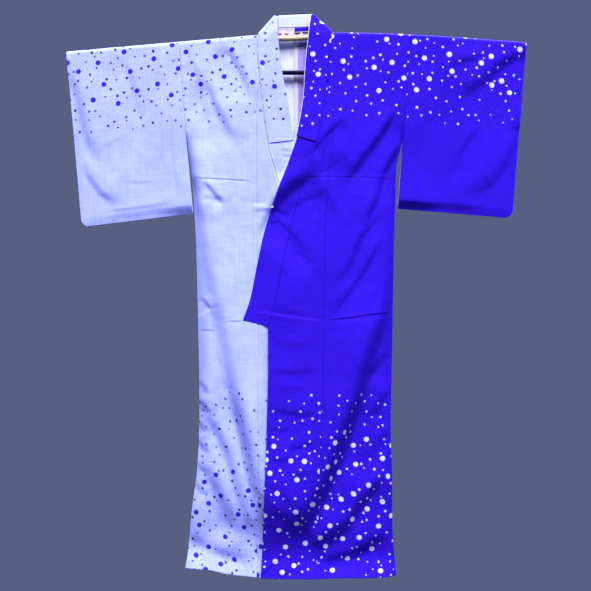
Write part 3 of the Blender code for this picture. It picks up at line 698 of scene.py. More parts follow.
def make_dot_group(name, lower, larger):
    """A node group: flat coordinates in, the masks of the dots and of the fine specks out."""
    tree = bpy.data.node_groups.new(name, "ShaderNodeTree")
    for socket in ("Big", "Small", "Specks"):
        tree.interface.new_socket(socket, in_out="OUTPUT", socket_type="NodeSocketFloat")
    tree.interface.new_socket("Flat", in_out="INPUT", socket_type="NodeSocketVector")
    nodes = Nodes(tree)
    flat = nodes.node("NodeGroupInput").outputs[0]
    out = nodes.node("NodeGroupOutput")
    shoulder, _ = dot_layer(nodes, flat, BIG_SHOULDER, 0.0)
    hem, _ = dot_layer(nodes, flat, BIG_HEM, SHIFTS["big_hem"], lower)
    small, centre = dot_layer(nodes, flat, SMALL_DOTS, SHIFTS["small"], 0.0, larger, SMALL_FAINT)
    specks, _ = dot_layer(nodes, flat, SPECKS, SHIFTS["specks"])
    nodes.put(out.inputs["Big"], nodes.math("MAXIMUM", shoulder, hem))
    nodes.put(out.inputs["Small"], nodes.math("MULTIPLY", small, clear_of_big(nodes, centre)))
    nodes.put(out.inputs["Specks"], specks)
    return tree


# cloth, the inks of the finest, small and big dots, their strengths, roughness, sheen
CLOTH_LOOKS = {
    "pale_cloth": (srgb(151, 162, 252), (srgb(20, 18, 92), srgb(8, 4, 76), srgb(34, 12, 178)),
                   (0.22, 1.0, 1.0), 0.85, 0.03),
    "blue_cloth": (srgb(38, 8, 181), (srgb(18, 0, 118), srgb(177, 180, 213), srgb(177, 180, 213)),
                   (0.90, 1.0, 1.0), 0.80, 0.01),
    "pale_reverse": (srgb(188, 192, 218), (srgb(130, 130, 205),) * 3, (0.08, 0.40, 0.40), 0.85, 0.03),
    "blue_reverse": (srgb(145, 129, 219), (srgb(172, 160, 204),) * 3, (0.10, 0.80, 0.80), 0.85, 0.02),
    "white_cloth": (srgb(183, 188, 194), None, None, 0.88, 0.03),
    "tape_cloth": (srgb(192, 180, 194), None, None, 0.88, 0.03),
}
# threads, their light and dark colours
THREADS = {
    "white_thread": (srgb(240, 240, 245), srgb(200, 200, 215)),
    "dark_thread": (srgb(46, 26, 60), srgb(22, 12, 40)),
    "grey_thread": (srgb(120, 118, 132), srgb(84, 82, 100)),
    "red_thread": (srgb(150, 82, 92), srgb(110, 60, 74)),
}
# the dye's unevenness: stretch of the pattern, scale, detail, roughness and how much it darkens
TONES = (
    ((210.0, 9.0, 1.0), 1.0, 3.0, 0.65, 0.34),    # streaks along the cloth
    ((11.0, 190.0, 1.0), 1.0, 3.0, 0.65, 0.26),   # and across it
    ((1.0, 1.0, 1.0), 230.0, 3.0, 0.6, 0.26),     # crepe
    ((1.0, 1.0, 1.0), 26.0, 3.0, 0.55, 0.26),     # mottle
)
THREAD_PITCH = 0.0007  # of the weave
WORN_LEAST = 0.90  # of a dot's ink, and how much more its patches have
WORN_PATCHES = 0.16
WORN_SCALE = 1500.0
ROUGH_VARIES = 0.12  # how much the roughness follows the mottle
SLUB_LEAD = 1.4  # how much more the slubs along the cloth count than those across it
SLUB_BUMP = (0.00030, 0.35)  # depth and strength
WEAVE_BUMP = (0.00006, 0.35)


def make_cloth(name, dots):
    """Plain weave with slubs along and across, uneven dye, and the printed dots."""
    ground, inks, strengths, roughness, sheen = CLOTH_LOOKS[name]
    material, shader, nodes = new_material(name, roughness)
    flat = nodes.node("ShaderNodeAttribute", attribute_name="flat").outputs["Vector"]
    noises = [nodes.noise(nodes.scale(flat, stretch), *settings) for stretch, *settings, _ in TONES]
    streaks, cross, _, mottle = noises
    amounts = [row[-1] for row in TONES]
    tone = 1.0 - 0.5 * sum(amounts)
    for noise, amount in zip(noises, amounts):
        tone = nodes.math("MULTIPLY_ADD", noise, amount, tone)
    shade = nodes.node("ShaderNodeCombineColor", (tone, tone, tone))
    colour = nodes.mix(1.0, ground, shade.outputs[0], "MULTIPLY")
    if inks:
        masks = nodes.node("ShaderNodeGroup", node_tree=dots)
        nodes.put(masks.inputs["Flat"], flat)
        worn = nodes.math("MULTIPLY_ADD", nodes.noise(flat, WORN_SCALE), WORN_PATCHES, WORN_LEAST)
        for mask, ink, strength in zip(("Specks", "Small", "Big"), inks, strengths):
            share = nodes.math("MULTIPLY", masks.outputs[mask], strength)
            colour = nodes.mix(nodes.math("MULTIPLY", share, worn), colour, ink)
    rough = nodes.math("MULTIPLY_ADD", nodes.math("SUBTRACT", mottle, 0.5), ROUGH_VARIES, roughness)
    shader.inputs["Sheen Weight"].default_value = sheen
    shader.inputs["Sheen Roughness"].default_value = 0.45
    shader.inputs["Specular IOR Level"].default_value = 0.08
    u, v, _ = nodes.parts(nodes.scale(flat, (2.0 * math.pi / THREAD_PITCH,) * 3))
    weave = nodes.math("MULTIPLY", nodes.math("SINE", u), nodes.math("SINE", v))
    slubs = nodes.math("ADD", nodes.math("MULTIPLY", streaks, SLUB_LEAD), cross)
    normal = nodes.bump(slubs, *SLUB_BUMP, nodes.bump(weave, *WEAVE_BUMP))
    paint(nodes, shader, colour, rough, normal)
    return material


def make_wood():
    """Pale smooth wood with a fine grain along the rod."""
    material, shader, nodes = new_material("rod_wood", 0.42)
    place = nodes.place()
    grain = nodes.noise(nodes.scale(place, (7.0, 260.0, 260.0)), 1.0, 4.0, 0.6)
    rings = nodes.noise(nodes.scale(place, (2.2, 60.0, 60.0)), 1.0)
    colour = nodes.mix(grain, srgb(134, 125, 88), srgb(147, 139, 110))
    colour = nodes.mix(nodes.ramp(rings, 0.55, 0.75), colour, srgb(126, 114, 76))
    paint(nodes, shader, colour, nodes.ramp(grain, 0.2, 0.8, 0.50, 0.36), nodes.bump(grain, 0.0003, 0.3))
    return material


def make_paint():
    """Dark paint, a little scuffed."""
    material, shader, nodes = new_material("rail_paint", 0.45)
    shader.inputs["Specular IOR Level"].default_value = 0.05
    scuffs = nodes.noise(nodes.place(), 90.0, 5.0, 0.7)
    colour = nodes.mix(nodes.ramp(scuffs, 0.62, 0.80), srgb(0, 0, 36), srgb(6, 6, 48))
    paint(nodes, shader, colour, nodes.ramp(scuffs, 0.3, 0.8, 0.40, 0.60), nodes.bump(scuffs, 0.0004, 0.15))
    return material


def make_thread(name, light, dark):
    """Twisted sewing thread."""
    material, shader, nodes = new_material(name, 0.6)
    twist = nodes.noise(nodes.place(), 1800.0)
    colour = nodes.mix(twist, dark, light)
    paint(nodes, shader, colour, nodes.ramp(twist, 0.3, 0.7, 0.5, 0.75), nodes.bump(twist, 0.0002, 0.4))
    return material


def make_floor():
    material, shader, nodes = new_material("floor", 0.95)
    shader.inputs["Specular IOR Level"].default_value = 0.05
    clouds = nodes.noise(nodes.place(), 3.0, 4.0)
    nodes.put(shader.inputs["Base Color"], nodes.mix(clouds, srgb(120, 120, 119), srgb(126, 126, 125)))
    return material


DOTS = {"pale": make_dot_group("dots_pale", PALE_BIG_LOWER, PALE_SMALL),
        "blue": make_dot_group("dots_blue", 0.0, 0.0)}
MATERIALS = {name: make_cloth(name, DOTS.get(name.split("_")[0])) for name in CLOTH_LOOKS}
MATERIALS |= {name: make_thread(name, *colours) for name, colours in THREADS.items()}
MATERIALS |= {"rod_wood": make_wood(), "rail_paint": make_paint()}


# Making pieces

def link(name, data, *materials):
    made = bpy.data.objects.new(name, data)
    for material in materials:
        data.materials.append(MATERIALS[material])
    bpy.context.scene.collection.objects.link(made)
    return made


def run(points):
    """Distance along each line of points, from its first."""
    steps = np.linalg.norm(np.diff(points, axis=0), axis=-1)
    return np.concatenate([np.zeros((1,) + steps.shape[1:]), np.cumsum(steps, axis=0)])


TO_FRONT = np.array([0.0, -1.0, 0.0])


def make_sheet(kind, points, wall, looks, flat, faces, half=None, replaced=(), keep=None):
    """A hung sheet: a wall round a grid of points, of which keep says which to use.

    looks are its outer and inner material, flat its flat coordinates, faces where the outside of its first
    row looks, and replaced the part's nodes that it stands for.
    """
    name = f"{kind}_{half.name}" if half else kind
    rows, columns = points.shape[:2]
    keep = np.ones((rows, columns), bool) if keep is None else keep
    numbers = np.cumsum(keep.ravel()).reshape(keep.shape) - 1
    quads = np.stack([numbers[:-1, :-1], numbers[:-1, 1:], numbers[1:, 1:], numbers[1:, :-1]], axis=-1)
    whole = keep[:-1, :-1] & keep[:-1, 1:] & keep[1:, 1:] & keep[1:, :-1]
    first = np.flatnonzero(whole[0])
    across = points[0, first + 1] - points[0, first]
    down = points[1, first] - points[0, first]
    if (np.cross(across, down).sum(axis=0) @ faces) < 0.0:
        quads = quads[..., ::-1]
    mesh = bpy.data.meshes.new(name)
    mesh.from_pydata(points[keep].tolist(), [], quads[whole].tolist())
    mesh.shade_smooth()
    place = mesh.attributes.new("flat", "FLOAT_VECTOR", "POINT")
    place.data.foreach_set("vector", flat[keep].astype(np.float32).ravel())
    made = link(name, mesh, *looks)
    solid = made.modifiers.new("wall", "SOLIDIFY")
    solid.thickness = wall
    solid.offset = 0.0
    solid.material_offset = 1
    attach(made, "root")
    if replaced:
        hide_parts(*replaced)


def make_curve(name, lines, radius, material, resolution=4, end_share=1.0):
    """Round bars or threads along lines of points, as one curve; end_share thins their ends."""
    curve = bpy.data.curves.new(name, "CURVE")
    curve.dimensions = "3D"
    curve.bevel_depth = radius
    curve.bevel_resolution = resolution
    curve.use_fill_caps = True
    for points in lines:
        spline = curve.splines.new("POLY")
        spline.points.add(len(points) - 1)
        for spot, point in zip(spline.points, points):
            spot.co = (*point, 1.0)
        spline.points[0].radius = spline.points[-1].radius = end_share
    made = link(name, curve, material)
    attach(made, "root")
    return made


# The cloth

SEAM_COLUMNS = np.array([0.0, 0.0008, 0.0016, 0.0026, 0.0040, 0.0060, 0.0085, 0.0097, 0.0110, 0.0125])
ROUND_ANGLES = np.radians(np.linspace(90.0, 0.0, 10))
CREASE_BANDS = ((0.384, 0.414, CREASE_STEP), (0.752, 0.802, CREASE_STEP), (0.812, 0.832, CREASE_STEP))
EVEN_GAP = 0.003  # from the seam's columns to the evenly spaced ones, and the same on the sleeve
SLEEVE_GAP = 0.004
BODY_COLUMNS = 46
CENTRE_COLUMNS = 16
OKUMI_COLUMNS = 34
OKUMI_START = 0.012  # how far below its seam table's first drop the overlap panel starts
COLLAR_FADE = 0.004  # drops over which the neckband's seam fades out at its lower end
SLEEVE_COLUMNS = 58
SLEEVE_STEP = 0.0045
FOLD_ANGLES = np.linspace(-90.0, 90.0, 13)[1:-1, None]
RULER = 20  # the column, from the reference one, along which a flat length is measured
OKUMI_RULER = 15
OKUMI_SHIFT = 3.1  # offsets of the flat coordinates, so that each piece is cut elsewhere
SLEEVE_SHIFT = 5.3
COLLAR_SHIFT = 8.7
BACK_STATIONS = 21  # of the neckband: behind the neck, round its turn, and the step down the front
TURN_STATIONS = 17
COLLAR_STEP = 0.004
BACK_DROP = 0.02  # the stations behind the neck count as this far above the front's first
BACK_RISE = 0.06  # and those at the centre back as this much further
FREE_LEAN = ROD_RADIUS * 2.5  # height from which the free edge leans to its depth at the top
FRONT_START = 0.001  # drop from which a station counts as on the front
BAND_LOOSE_DROPS = (0.05, 0.10)  # between which strokes start to push the neckband in
COLLAR_BULGE = 0.0009  # height of the neckband's bulge across its width, and how full it is
BULGE_POWER = 0.7
COLLAR_WIDTH = 0.065
COLLAR_SHARES = np.concatenate([[0.0, 0.015, 0.03, 0.05, 0.08], np.linspace(0.12, 1.0, 15)])
COLLAR_DIP = 0.7  # share of a seam's dip that the neckband's seam has, and from which drop
DIP_START = 0.03
CLOSE_REACH = 0.030  # drops over which the over-collar closes onto the neckband at its end
BAND_OUT = BAND / 2.0 + LAY_GAP + OVER  # from the neckband's middle to the outside of the over-collar
FACING_SHIFT = (11.0, 0.5)
TAPE_SHIFT = (12.0, 0.5)
STRIP_SHIFT = (13.0, 0.6)
CENTRE_SHIFT = (14.0, 0.6)


def across_row(inner, side):
    """x of a row's points: close at the seam, even, then round the side."""
    turn = np.sign(side - inner)
    seam = inner + turn * SEAM_COLUMNS
    start, end = inner + turn * (SEAM_COLUMNS[-1] + EVEN_GAP), side - turn * (SIDE_ROUND + EVEN_GAP)
    even = mix(start, end, np.linspace(0.0, 1.0, BODY_COLUMNS))
    edge = side - turn * SIDE_ROUND * (1.0 - np.cos(ROUND_ANGLES))
    return np.concatenate([seam, even, edge], axis=1)


def flat_places(points, reference, middle_row, side, shift=0.0):
    """Flat coordinates: along the row from the reference column, and down from the fold's row."""
    rows = run(np.swapaxes(points, 0, 1)).T
    u = points[:, reference, 0][:, None] + side * (rows - rows[:, reference][:, None]) + shift
    v = run(points[:, reference + RULER][:, None])[:, 0]
    return stack(u, (v[middle_row] - v)[:, None], 0.0)


def make_body(half):
    """Front and back in one length over the rod; the back alone has the columns inside the neck."""
    gap = half.side * SEAM_GAP / 2.0
    neck = half.collar[0][1] + gap
    drops = spaced(0.0, LENGTH, FINE, CREASE_BANDS)[:, None]
    front_drops = drops[::-1]
    front_x = across_row(half.inner_x(front_drops) + gap, half.side_x(front_drops) - gap)
    front = half.body_point(front_x, front_drops, back=False)
    top_x = across_row(np.array([[neck]]), half.side_x(np.array([[0.0]])) - gap)
    shoulder = over_rod(top_x, FOLD_ANGLES, FOLD_Z)
    seam = gap + half.side * SEAM_COLUMNS
    start = gap + half.side * (SEAM_COLUMNS[-1] + EVEN_GAP)
    even = mix(start, neck, np.linspace(0.0, 1.0, CENTRE_COLUMNS)[:-1])
    centre = np.concatenate([seam, even])[None, :] + 0.0 * drops
    outer = across_row(neck + 0.0 * drops, half.side_x(drops) - gap)
    back = half.body_point(np.concatenate([centre, outer], axis=1), drops, back=True)
    blank = centre.shape[1]
    points = np.zeros((len(front) + len(shoulder) + len(back), blank + front.shape[1], 3))
    keep = np.ones(points.shape[:2], bool)
    points[:len(front), blank:] = front
    points[len(front):-len(back), blank:] = shoulder
    points[-len(back):] = back
    keep[:-len(back), :blank] = False
    points[:-len(back), :blank] = points[:-len(back), blank:blank + 1]
    flat = flat_places(points, blank, len(front) + len(shoulder) // 2, half.side)
    make_sheet("body", points, CLOTH, half.looks, flat, TO_FRONT, half,
               ["front_" + half.name, "back_" + half.name], keep=keep)


def make_okumi(half):
    """The overlap panel, sewn to the front on one side, and to the neckband above its free edge."""
    gap = half.side * SEAM_GAP / 2.0
    start = half.okumi[0][0] + OKUMI_START
    drops = spaced(start, LENGTH, FINE, CREASE_BANDS)[:, None]
    near, far = half.inner_x(drops) - gap, half.overlap_x(drops) + gap
    width = np.abs(far - near)
    seam = np.minimum(SEAM_COLUMNS, width * 0.5) / width
    rest = mix(seam[:, -1:], 1.0, np.linspace(0.0, 1.0, OKUMI_COLUMNS)[1:])
    share = np.concatenate([seam, rest], axis=1)
    x = mix(near, far, share)
    to_edge = (1.0 - share) * width
    at_collar = 1.0 - ease(drops, half.collar[-1][0] - COLLAR_FADE, half.collar[-1][0])
    allowance = OKUMI_ALLOWANCE + OKUMI_WIDENING * (1.0 - ease(drops, *OKUMI_WIDE_DROPS))
    pull = sewn_edge(share * width, allowance) + at_collar * sewn_edge(to_edge)
    hem = (1.0 - at_collar) * turned_hem(to_edge, OKUMI_HEM)
    points = stack(x, front_y(x, drops, half.upper) + pull - hem, height(x, drops))
    flat = stack(x + OKUMI_SHIFT, start + run(points[:, OKUMI_RULER][:, None]), 0.0)
    make_sheet("okumi_cloth", points, CLOTH, half.looks, flat, TO_FRONT, half, ["okumi_" + half.name])


def sleeve_point(sleeve, across, down, facing):
    """Sleeve point: across 0 inner to 1 outer, down 0 top to 1 bottom, facing -1 front or 1 back."""
    outer = 1.0 if sleeve["top_out"] > 0.0 else -1.0
    top_x = mix(sleeve["top_in"], sleeve["top_out"], across)
    low_x = mix(sleeve["low_in"][0], sleeve["low_out"][0], across)
    low_z = mix(sleeve["low_in"][1], sleeve["low_out"][1], across)
    x, z = mix(top_x, low_x, down), mix(rod_z(top_x), low_z, down)
    width = abs(sleeve["top_out"] - sleeve["top_in"])
    beside = np.maximum(1.0 - (1.0 - across) * width / SLEEVE_CORNER, 0.0)
    below = np.maximum(1.0 - (1.0 - down) * (rod_z(top_x) - low_z) / SLEEVE_CORNER, 0.0)
    round_beside = beside * np.sqrt(1.0 - below * below / 2.0)
    round_below = below * np.sqrt(1.0 - beside * beside / 2.0)
    x = x - outer * (beside - round_beside) * SLEEVE_CORNER
    z = z + (below - round_below) * SLEEVE_CORNER
    sewn = ease(down, CUFF_END - CUFF_EASE, CUFF_END + CUFF_EASE)
    edge = np.hypot(round_beside * sewn, round_below)
    share = 1.0 - np.clip(edge, 0.0, 1.0) ** SLEEVE_EDGE_POWER
    belly = smooth_at(BELLY, np.minimum(-z, ARMHOLE))
    beside_body = FOLD_Y + belly * (1.0 - ease(-z, ARMHOLE, ARMHOLE + BELLY_FADE))
    hanging = FOLD_Y - SLEEVE_TAPER * down
    full = mix(beside_body, hanging, ease(across, 0.0, BESIDE_SHARE))
    table, seed = (SLEEVE_BACK_CREASES, BACK_SEED) if facing > 0.0 else (SLEEVE_CREASES, FRONT_SEED)
    loose = ease(rod_z(top_x) - z, 0.0, LOOSE_DROP)
    relief = creases(table, x, z) + SLEEVE_UNEVENNESS * hang(x, z, seed)
    relief = relief + above_armhole(-z) * sewn_edge(across * width)
    hem = (1.0 - sewn) * turned_hem((1.0 - across) * width, CUFF_HEM)
    deep = at_least(full - loose * relief + hem, SLEEVE_LEAST)
    return stack(x, facing * mix(SEWN_HALF, deep, share), z)


def make_sleeve(half):
    sleeve = half.sleeve
    sleeve_height = abs(sleeve["low_in"][1])
    width = abs(sleeve["top_out"] - sleeve["top_in"])
    rounds = SLEEVE_ROUND * (1.0 - np.cos(ROUND_ANGLES))
    across = np.concatenate([
        SEAM_GAP / 2.0 / width + SEAM_COLUMNS / width,
        np.linspace((SEAM_COLUMNS[-1] + SLEEVE_GAP) / width, 1.0 - SLEEVE_CORNER / width, SLEEVE_COLUMNS),
        1.0 - rounds / width,
    ])[None, :]
    steps = round((sleeve_height - SLEEVE_CORNER) / SLEEVE_STEP)
    down = np.concatenate([np.linspace(0.0, 1.0 - SLEEVE_CORNER / sleeve_height, steps + 1),
                           1.0 - rounds / sleeve_height])[:, None]
    front = sleeve_point(sleeve, across, down[::-1], -1.0)
    back = sleeve_point(sleeve, across, down, 1.0)
    shoulder = over_rod(mix(sleeve["top_in"], sleeve["top_out"], across), FOLD_ANGLES, FOLD_Z)
    points = np.concatenate([front, shoulder, back])
    flat = flat_places(points, 0, len(front) + len(shoulder) // 2, half.side, SLEEVE_SHIFT * half.side)
    make_sheet("sleeve_cloth", points, CLOTH, half.looks, flat, TO_FRONT, half, ["sleeve_" + half.name])


def collar_stations(half, end):
    """Points across the neckband, seam and free edge, from the centre back to the front's end."""
    gap = half.side * SEAM_GAP / 2.0
    neck = half.collar[0][1] - gap
    top_x, top_z = half.collar[0][2], -half.collar[0][3]
    back_y_top, front_y_top = COLLAR_TOP_Y + COLLAR_TOP_HALF, COLLAR_TOP_Y - COLLAR_TOP_HALF
    share = np.linspace(0.0, 1.0, BACK_STATIONS)[:-1]
    seam_back = over_rod(mix(gap, neck, share), 90.0, COLLAR_FOLD_Z)
    seam_back[:, 2] += NECK_GAP
    free_back = stack(mix(gap, top_x, share), back_y_top, mix(COLLAR_CENTRE_Z, top_z, share))
    angles = np.linspace(90.0, -90.0, TURN_STATIONS)
    turn = np.radians(angles)
    seam_turn = over_rod(neck + 0.0 * angles, angles, COLLAR_FOLD_Z)
    seam_turn[:, 2] += NECK_GAP * ease(angles, 0.0, 90.0)
    free_turn = stack(top_x + half.side * COLLAR_TOP_HALF * np.cos(turn),
                      COLLAR_TOP_Y + COLLAR_TOP_HALF * np.sin(turn), top_z)
    drops = spaced(COLLAR_STEP, end, COLLAR_STEP)
    drops = np.append(drops[:-1], [end - END_EDGE, end])
    seam_x = smooth_at(half.collar, drops) - gap
    edge_x, edge_drop = smooth_at(half.collar, drops, 2), smooth_at(half.collar, drops, 3)
    seam_front = stack(seam_x, front_y(seam_x, drops, half.upper), height(seam_x, drops))
    above = ease(-edge_drop, FREE_LEAN, top_z)
    free_y = mix(front_y(edge_x, np.maximum(edge_drop, 0.0), half.upper), front_y_top, above)
    free_front = stack(edge_x, free_y, height(edge_x, edge_drop))
    seam = np.concatenate([seam_back, seam_turn, seam_front])
    free = np.concatenate([free_back, free_turn, free_front])
    back_drop = -BACK_RISE * (1.0 - share) - BACK_DROP
    drop = np.concatenate([back_drop, np.linspace(-BACK_DROP, 0.0, TURN_STATIONS), drops])
    return seam, free, drop


def band_frame(half, end):
    """The neckband's stations, with its outward normal and the direction across it at each."""
    seam, free, drop = collar_stations(half, end)
    across = free - seam
    normal = half.side * np.cross(np.gradient((seam + free) / 2.0, axis=0), across)
    normal /= np.linalg.norm(normal, axis=1)[:, None]
    across /= np.linalg.norm(across, axis=1)[:, None]
    return seam, free, drop, normal, across


def band_rows(seam, free, normal, shares, out, bulge, drop):
    """Rows of points on the neckband, moved out along its normal and pushed in where strokes cross it."""
    share = shares[None, :, None]
    rows = seam[:, None] * (1.0 - share) + free[:, None] * share
    table = FRONT_CREASES + TACK_CREASES
    pushed = creases(table, rows[..., 0], rows[..., 2])
    at_seam = creases(table, seam[:, 0], seam[:, 2])[:, None]
    at_free = creases(table, free[:, 0], free[:, 2])[:, None]
    rows[..., 1] += ease(drop, *BAND_LOOSE_DROPS)[:, None] * (pushed - mix(at_seam, at_free, shares[None, :]))
    rise = out + bulge * np.sin(math.pi * shares) ** BULGE_POWER
    return rows + normal[:, None] * rise[None, :, None]


def band_flat(rows, drop, shift):
    """Flat coordinates of the band: as seen from the front, then by length along each column."""
    first = np.searchsorted(drop, FRONT_START)
    front = (drop > FRONT_START)[:, None]
    length = run(rows)
    u = np.where(front, rows[..., 0], rows[first, :, 0])
    v = np.where(front, -rows[..., 2], length - length[first] - rows[first, :, 2])
    return stack(u + shift, v, 0.0)


def make_collar(half):
    seam, free, drop, normal, _ = band_frame(half, half.collar[-1][0])
    rows = band_rows(seam, free, normal, COLLAR_SHARES, 0.0, COLLAR_BULGE, drop)
    from_seam = COLLAR_SHARES * COLLAR_WIDTH
    pull = SEAM_DIP * COLLAR_DIP * np.exp(-(from_seam / SEAM_REACH) ** 2) * (drop > DIP_START)[:, None]
    rows = rows - normal[:, None] * pull[..., None]
    flat = band_flat(rows, drop, COLLAR_SHIFT * half.side)
    make_sheet("neckband", rows, BAND, (half.looks[0],) * 2, flat, -TO_FRONT, half, ["collar_" + half.name])


def make_over_collar(half):
    """Wrapped round the neckband, from its seam over the free edge and back."""
    seam, free, drop, normal, across = band_frame(half, OVER_END)
    close = OVER_CLOSE * ease(drop, OVER_END - CLOSE_REACH, OVER_END)[:, None, None]
    out = BAND_OUT - OVER / 2.0
    shares = np.linspace(0.0, 1.0, 17)[1:-1]
    front = band_rows(seam, free, normal, shares, out, COLLAR_BULGE, drop)
    front -= normal[:, None] * close
    start = (seam + across * OVER_START + normal * out)[:, None] - normal[:, None] * close
    inner_start = (seam + across * OVER_START - normal * out)[:, None]
    turn = np.radians(np.linspace(90.0, -90.0, 11))
    edge = (free[:, None] + across[:, None] * (out * np.cos(turn))[None, :, None]
            + normal[:, None] * (out * np.sin(turn))[None, :, None])
    inner = band_rows(seam, free, normal, shares[::-1], -out, 0.0, drop)
    rows = np.concatenate([start, front, edge, inner, inner_start], axis=1)
    flat = band_flat(rows, drop, COLLAR_SHIFT * half.side)
    make_sheet("over_band", rows, OVER, (half.looks[0],) * 2, flat, -TO_FRONT, half,
               ["over_collar_" + half.name])


def inside_neck(x, low, high, inward):
    """A band on the inner side of the neckband at the back: low and high are shares of its width."""
    top_x = np.where(x > 0.0, BLUE.collar[0][2], PALE.collar[0][2])
    top_z = np.where(x > 0.0, -BLUE.collar[0][3], -PALE.collar[0][3])
    seam = over_rod(x, 90.0, COLLAR_FOLD_Z)
    free = stack(x, COLLAR_TOP_Y + COLLAR_TOP_HALF, mix(COLLAR_CENTRE_Z, top_z, x / top_x))
    share = np.linspace(low, high, 9)[None, :, None]
    rows = seam[:, None] * (1.0 - share) + free[:, None] * share
    return rows - np.array([0.0, inward, 0.0])


NECK_INWARD = BAND_OUT + SEAM_GAP + OVER / 2.0
FACING_WALL = 0.0006
FACING_INWARD = BAND_OUT + SEAM_GAP + FACING_WALL / 2.0
FACING_WRAP = 150.0  # degrees that the facing turns over the neckband's top edge
FACING_LOW = 0.483  # shares of the neckband's width at the back, from its seam
TAPE_LOW = 0.10
TAPE_HIGH = FACING_LOW - 0.01
STRIP_LOW = 0.336
STRIP_HIGH = 0.475
TAPE_WALL = OVER * 0.8
STRIP_WALL = OVER * 0.5
# rows of stitches: first and last x, share of the neckband's width, pitch, length, radius, thread
STITCH_ROWS = {
    "neck_stitches_blue": (-0.001, 0.046, 0.262, 0.0225, 0.0185, 0.0018, "dark_thread"),
    "neck_stitches_red": (-0.046, -0.004, 0.245, 0.0180, 0.0105, 0.0015, "red_thread"),
    "neck_stitches_fine": (-0.046, -0.002, 0.455, 0.0048, 0.0036, 0.0004, "grey_thread"),
}


def make_neck_piece(kind, rows, wall, look, shift, replaced=()):
    flat = stack(rows[..., 0] + shift[0], rows[..., 2] + shift[1], 0.0)
    make_sheet(kind, rows, wall, (look, look), flat, TO_FRONT, replaced=replaced)


def make_neck_pieces():
    """Inside the back neck: the white facing, the pale tape below it and the blue strip on its right."""
    x = np.linspace(-FACING_HALF, FACING_HALF, 45)
    right_x = np.linspace(0.0, FACING_HALF, 25)
    turn = np.radians(np.linspace(0.0, FACING_WRAP, 13))[1:]
    wrap = FACING_INWARD * stack(0.0, -np.cos(turn), np.sin(turn))[None]
    over = inside_neck(x, 1.0, 1.0, 0.0)[:, :1] + wrap
    facing = np.concatenate([inside_neck(x, FACING_LOW, 1.0, FACING_INWARD), over], axis=1)
    tape = inside_neck(x, TAPE_LOW, TAPE_HIGH, NECK_INWARD)
    strip = inside_neck(right_x, STRIP_LOW, STRIP_HIGH, NECK_INWARD + OVER)
    make_neck_piece("neck_facing", facing, FACING_WALL, "white_cloth", FACING_SHIFT, ["collar_facing"])
    make_neck_piece("neck_tape", tape, TAPE_WALL, "tape_cloth", TAPE_SHIFT)
    make_neck_piece("neck_strip", strip, STRIP_WALL, "blue_cloth", STRIP_SHIFT)


def make_stitches():
    """Rows of straight stitches inside the back neck, each row one curve."""
    for name, (start, end, share, pitch, length, radius, thread) in STITCH_ROWS.items():
        lines = []
        while start + length < end:
            x = np.linspace(start, start + length, 4)
            points = inside_neck(x, share, share, NECK_INWARD + OVER)[:, 0]
            points[[0, -1], 1] += radius
            lines.append(points)
            start += pitch
        make_curve(name, lines, radius, thread, 3)


CENTRE_STRIP = 0.0050  # half width of the allowance inside the centre back seam
CENTRE_WALL = 0.0008
CENTRE_INWARD = CLOTH / 2.0 + 0.0012
CENTRE_DROPS = (0.012, LENGTH - 0.01, 0.006)  # first and last drop of its rows, and their step
CENTRE_DIP = 0.5  # share of the back's dip at the seam that it follows


def make_centre_strip():
    """The seam allowance that lies inside the centre back seam, made from the back's points."""
    drops = spaced(*CENTRE_DROPS)[:, None]
    x = CENTRE_STRIP + np.linspace(-CENTRE_STRIP, CENTRE_STRIP, 7)[None, :] + 0.0 * drops
    y = back_y(x, drops) - CENTRE_INWARD - sewn_edge(np.abs(x)) * CENTRE_DIP
    flat = stack(x + CENTRE_SHIFT[0], CENTRE_SHIFT[1], 0.0)
    make_sheet("centre_back_allowance", stack(x, y, height(x, drops)), CENTRE_WALL,
               ("white_cloth", "white_cloth"), flat, TO_FRONT)


EDGE_LINE_END = 0.47  # drop where the neckband's pale edge line ends, its first station and radius
EDGE_LINE_START = 26
EDGE_LINE_RADIUS = 0.0006
EDGE_LINE_OUT = 0.6  # how far its middle is outside the band, in radii
THREAD_END = 0.55  # radius of a thread's end, as a share of its own


def make_edge_line():
    """The thin pale edge of the neckband's lining, which shows along the blue half's free edge."""
    _, free, _, normal, across = band_frame(BLUE, EDGE_LINE_END)
    points = free + across * (BAND_OUT + EDGE_LINE_RADIUS * EDGE_LINE_OUT) - normal * EDGE_LINE_RADIUS
    lines = [points[EDGE_LINE_START:]]
    make_curve("collar_edge_line", lines, EDGE_LINE_RADIUS, "white_thread", 2, THREAD_END)


TACK = (-0.063, -0.4745)  # x and z of the thread tack, the half width of its passes and their radius
TACK_HALF = 0.0042
TACK_RADIUS = 0.0006
TACK_OUT = 0.0008  # how far its passes lie in front of the neckband, bow out, and follow each other
TACK_BOW = 0.0009
TACK_STEP = 0.0001
TACK_PASSES = ((0.35, 0.0), (0.15, 0.0011), (-0.1, -0.0010), (0.6, 0.0004))  # lean and rise of each


def make_tack():
    """The thread tack that holds the two fronts together: a few short passes over the edge."""
    depth = float(front_y(np.array(TACK[0]), np.array(-TACK[1]), True)) - BAND / 2.0 - TACK_OUT
    for i, (lean, rise) in enumerate(TACK_PASSES):
        spots = []
        for t in np.linspace(-1.0, 1.0, 9):
            y = depth - TACK_BOW * (1.0 - t * t) - i * TACK_STEP
            spots.append((TACK[0] + TACK_HALF * t, y, TACK[1] + rise + TACK_HALF * t * lean))
        make_curve(f"tack_{i}", [spots], TACK_RADIUS, "white_thread", 3, THREAD_END)


# The rod and the rail

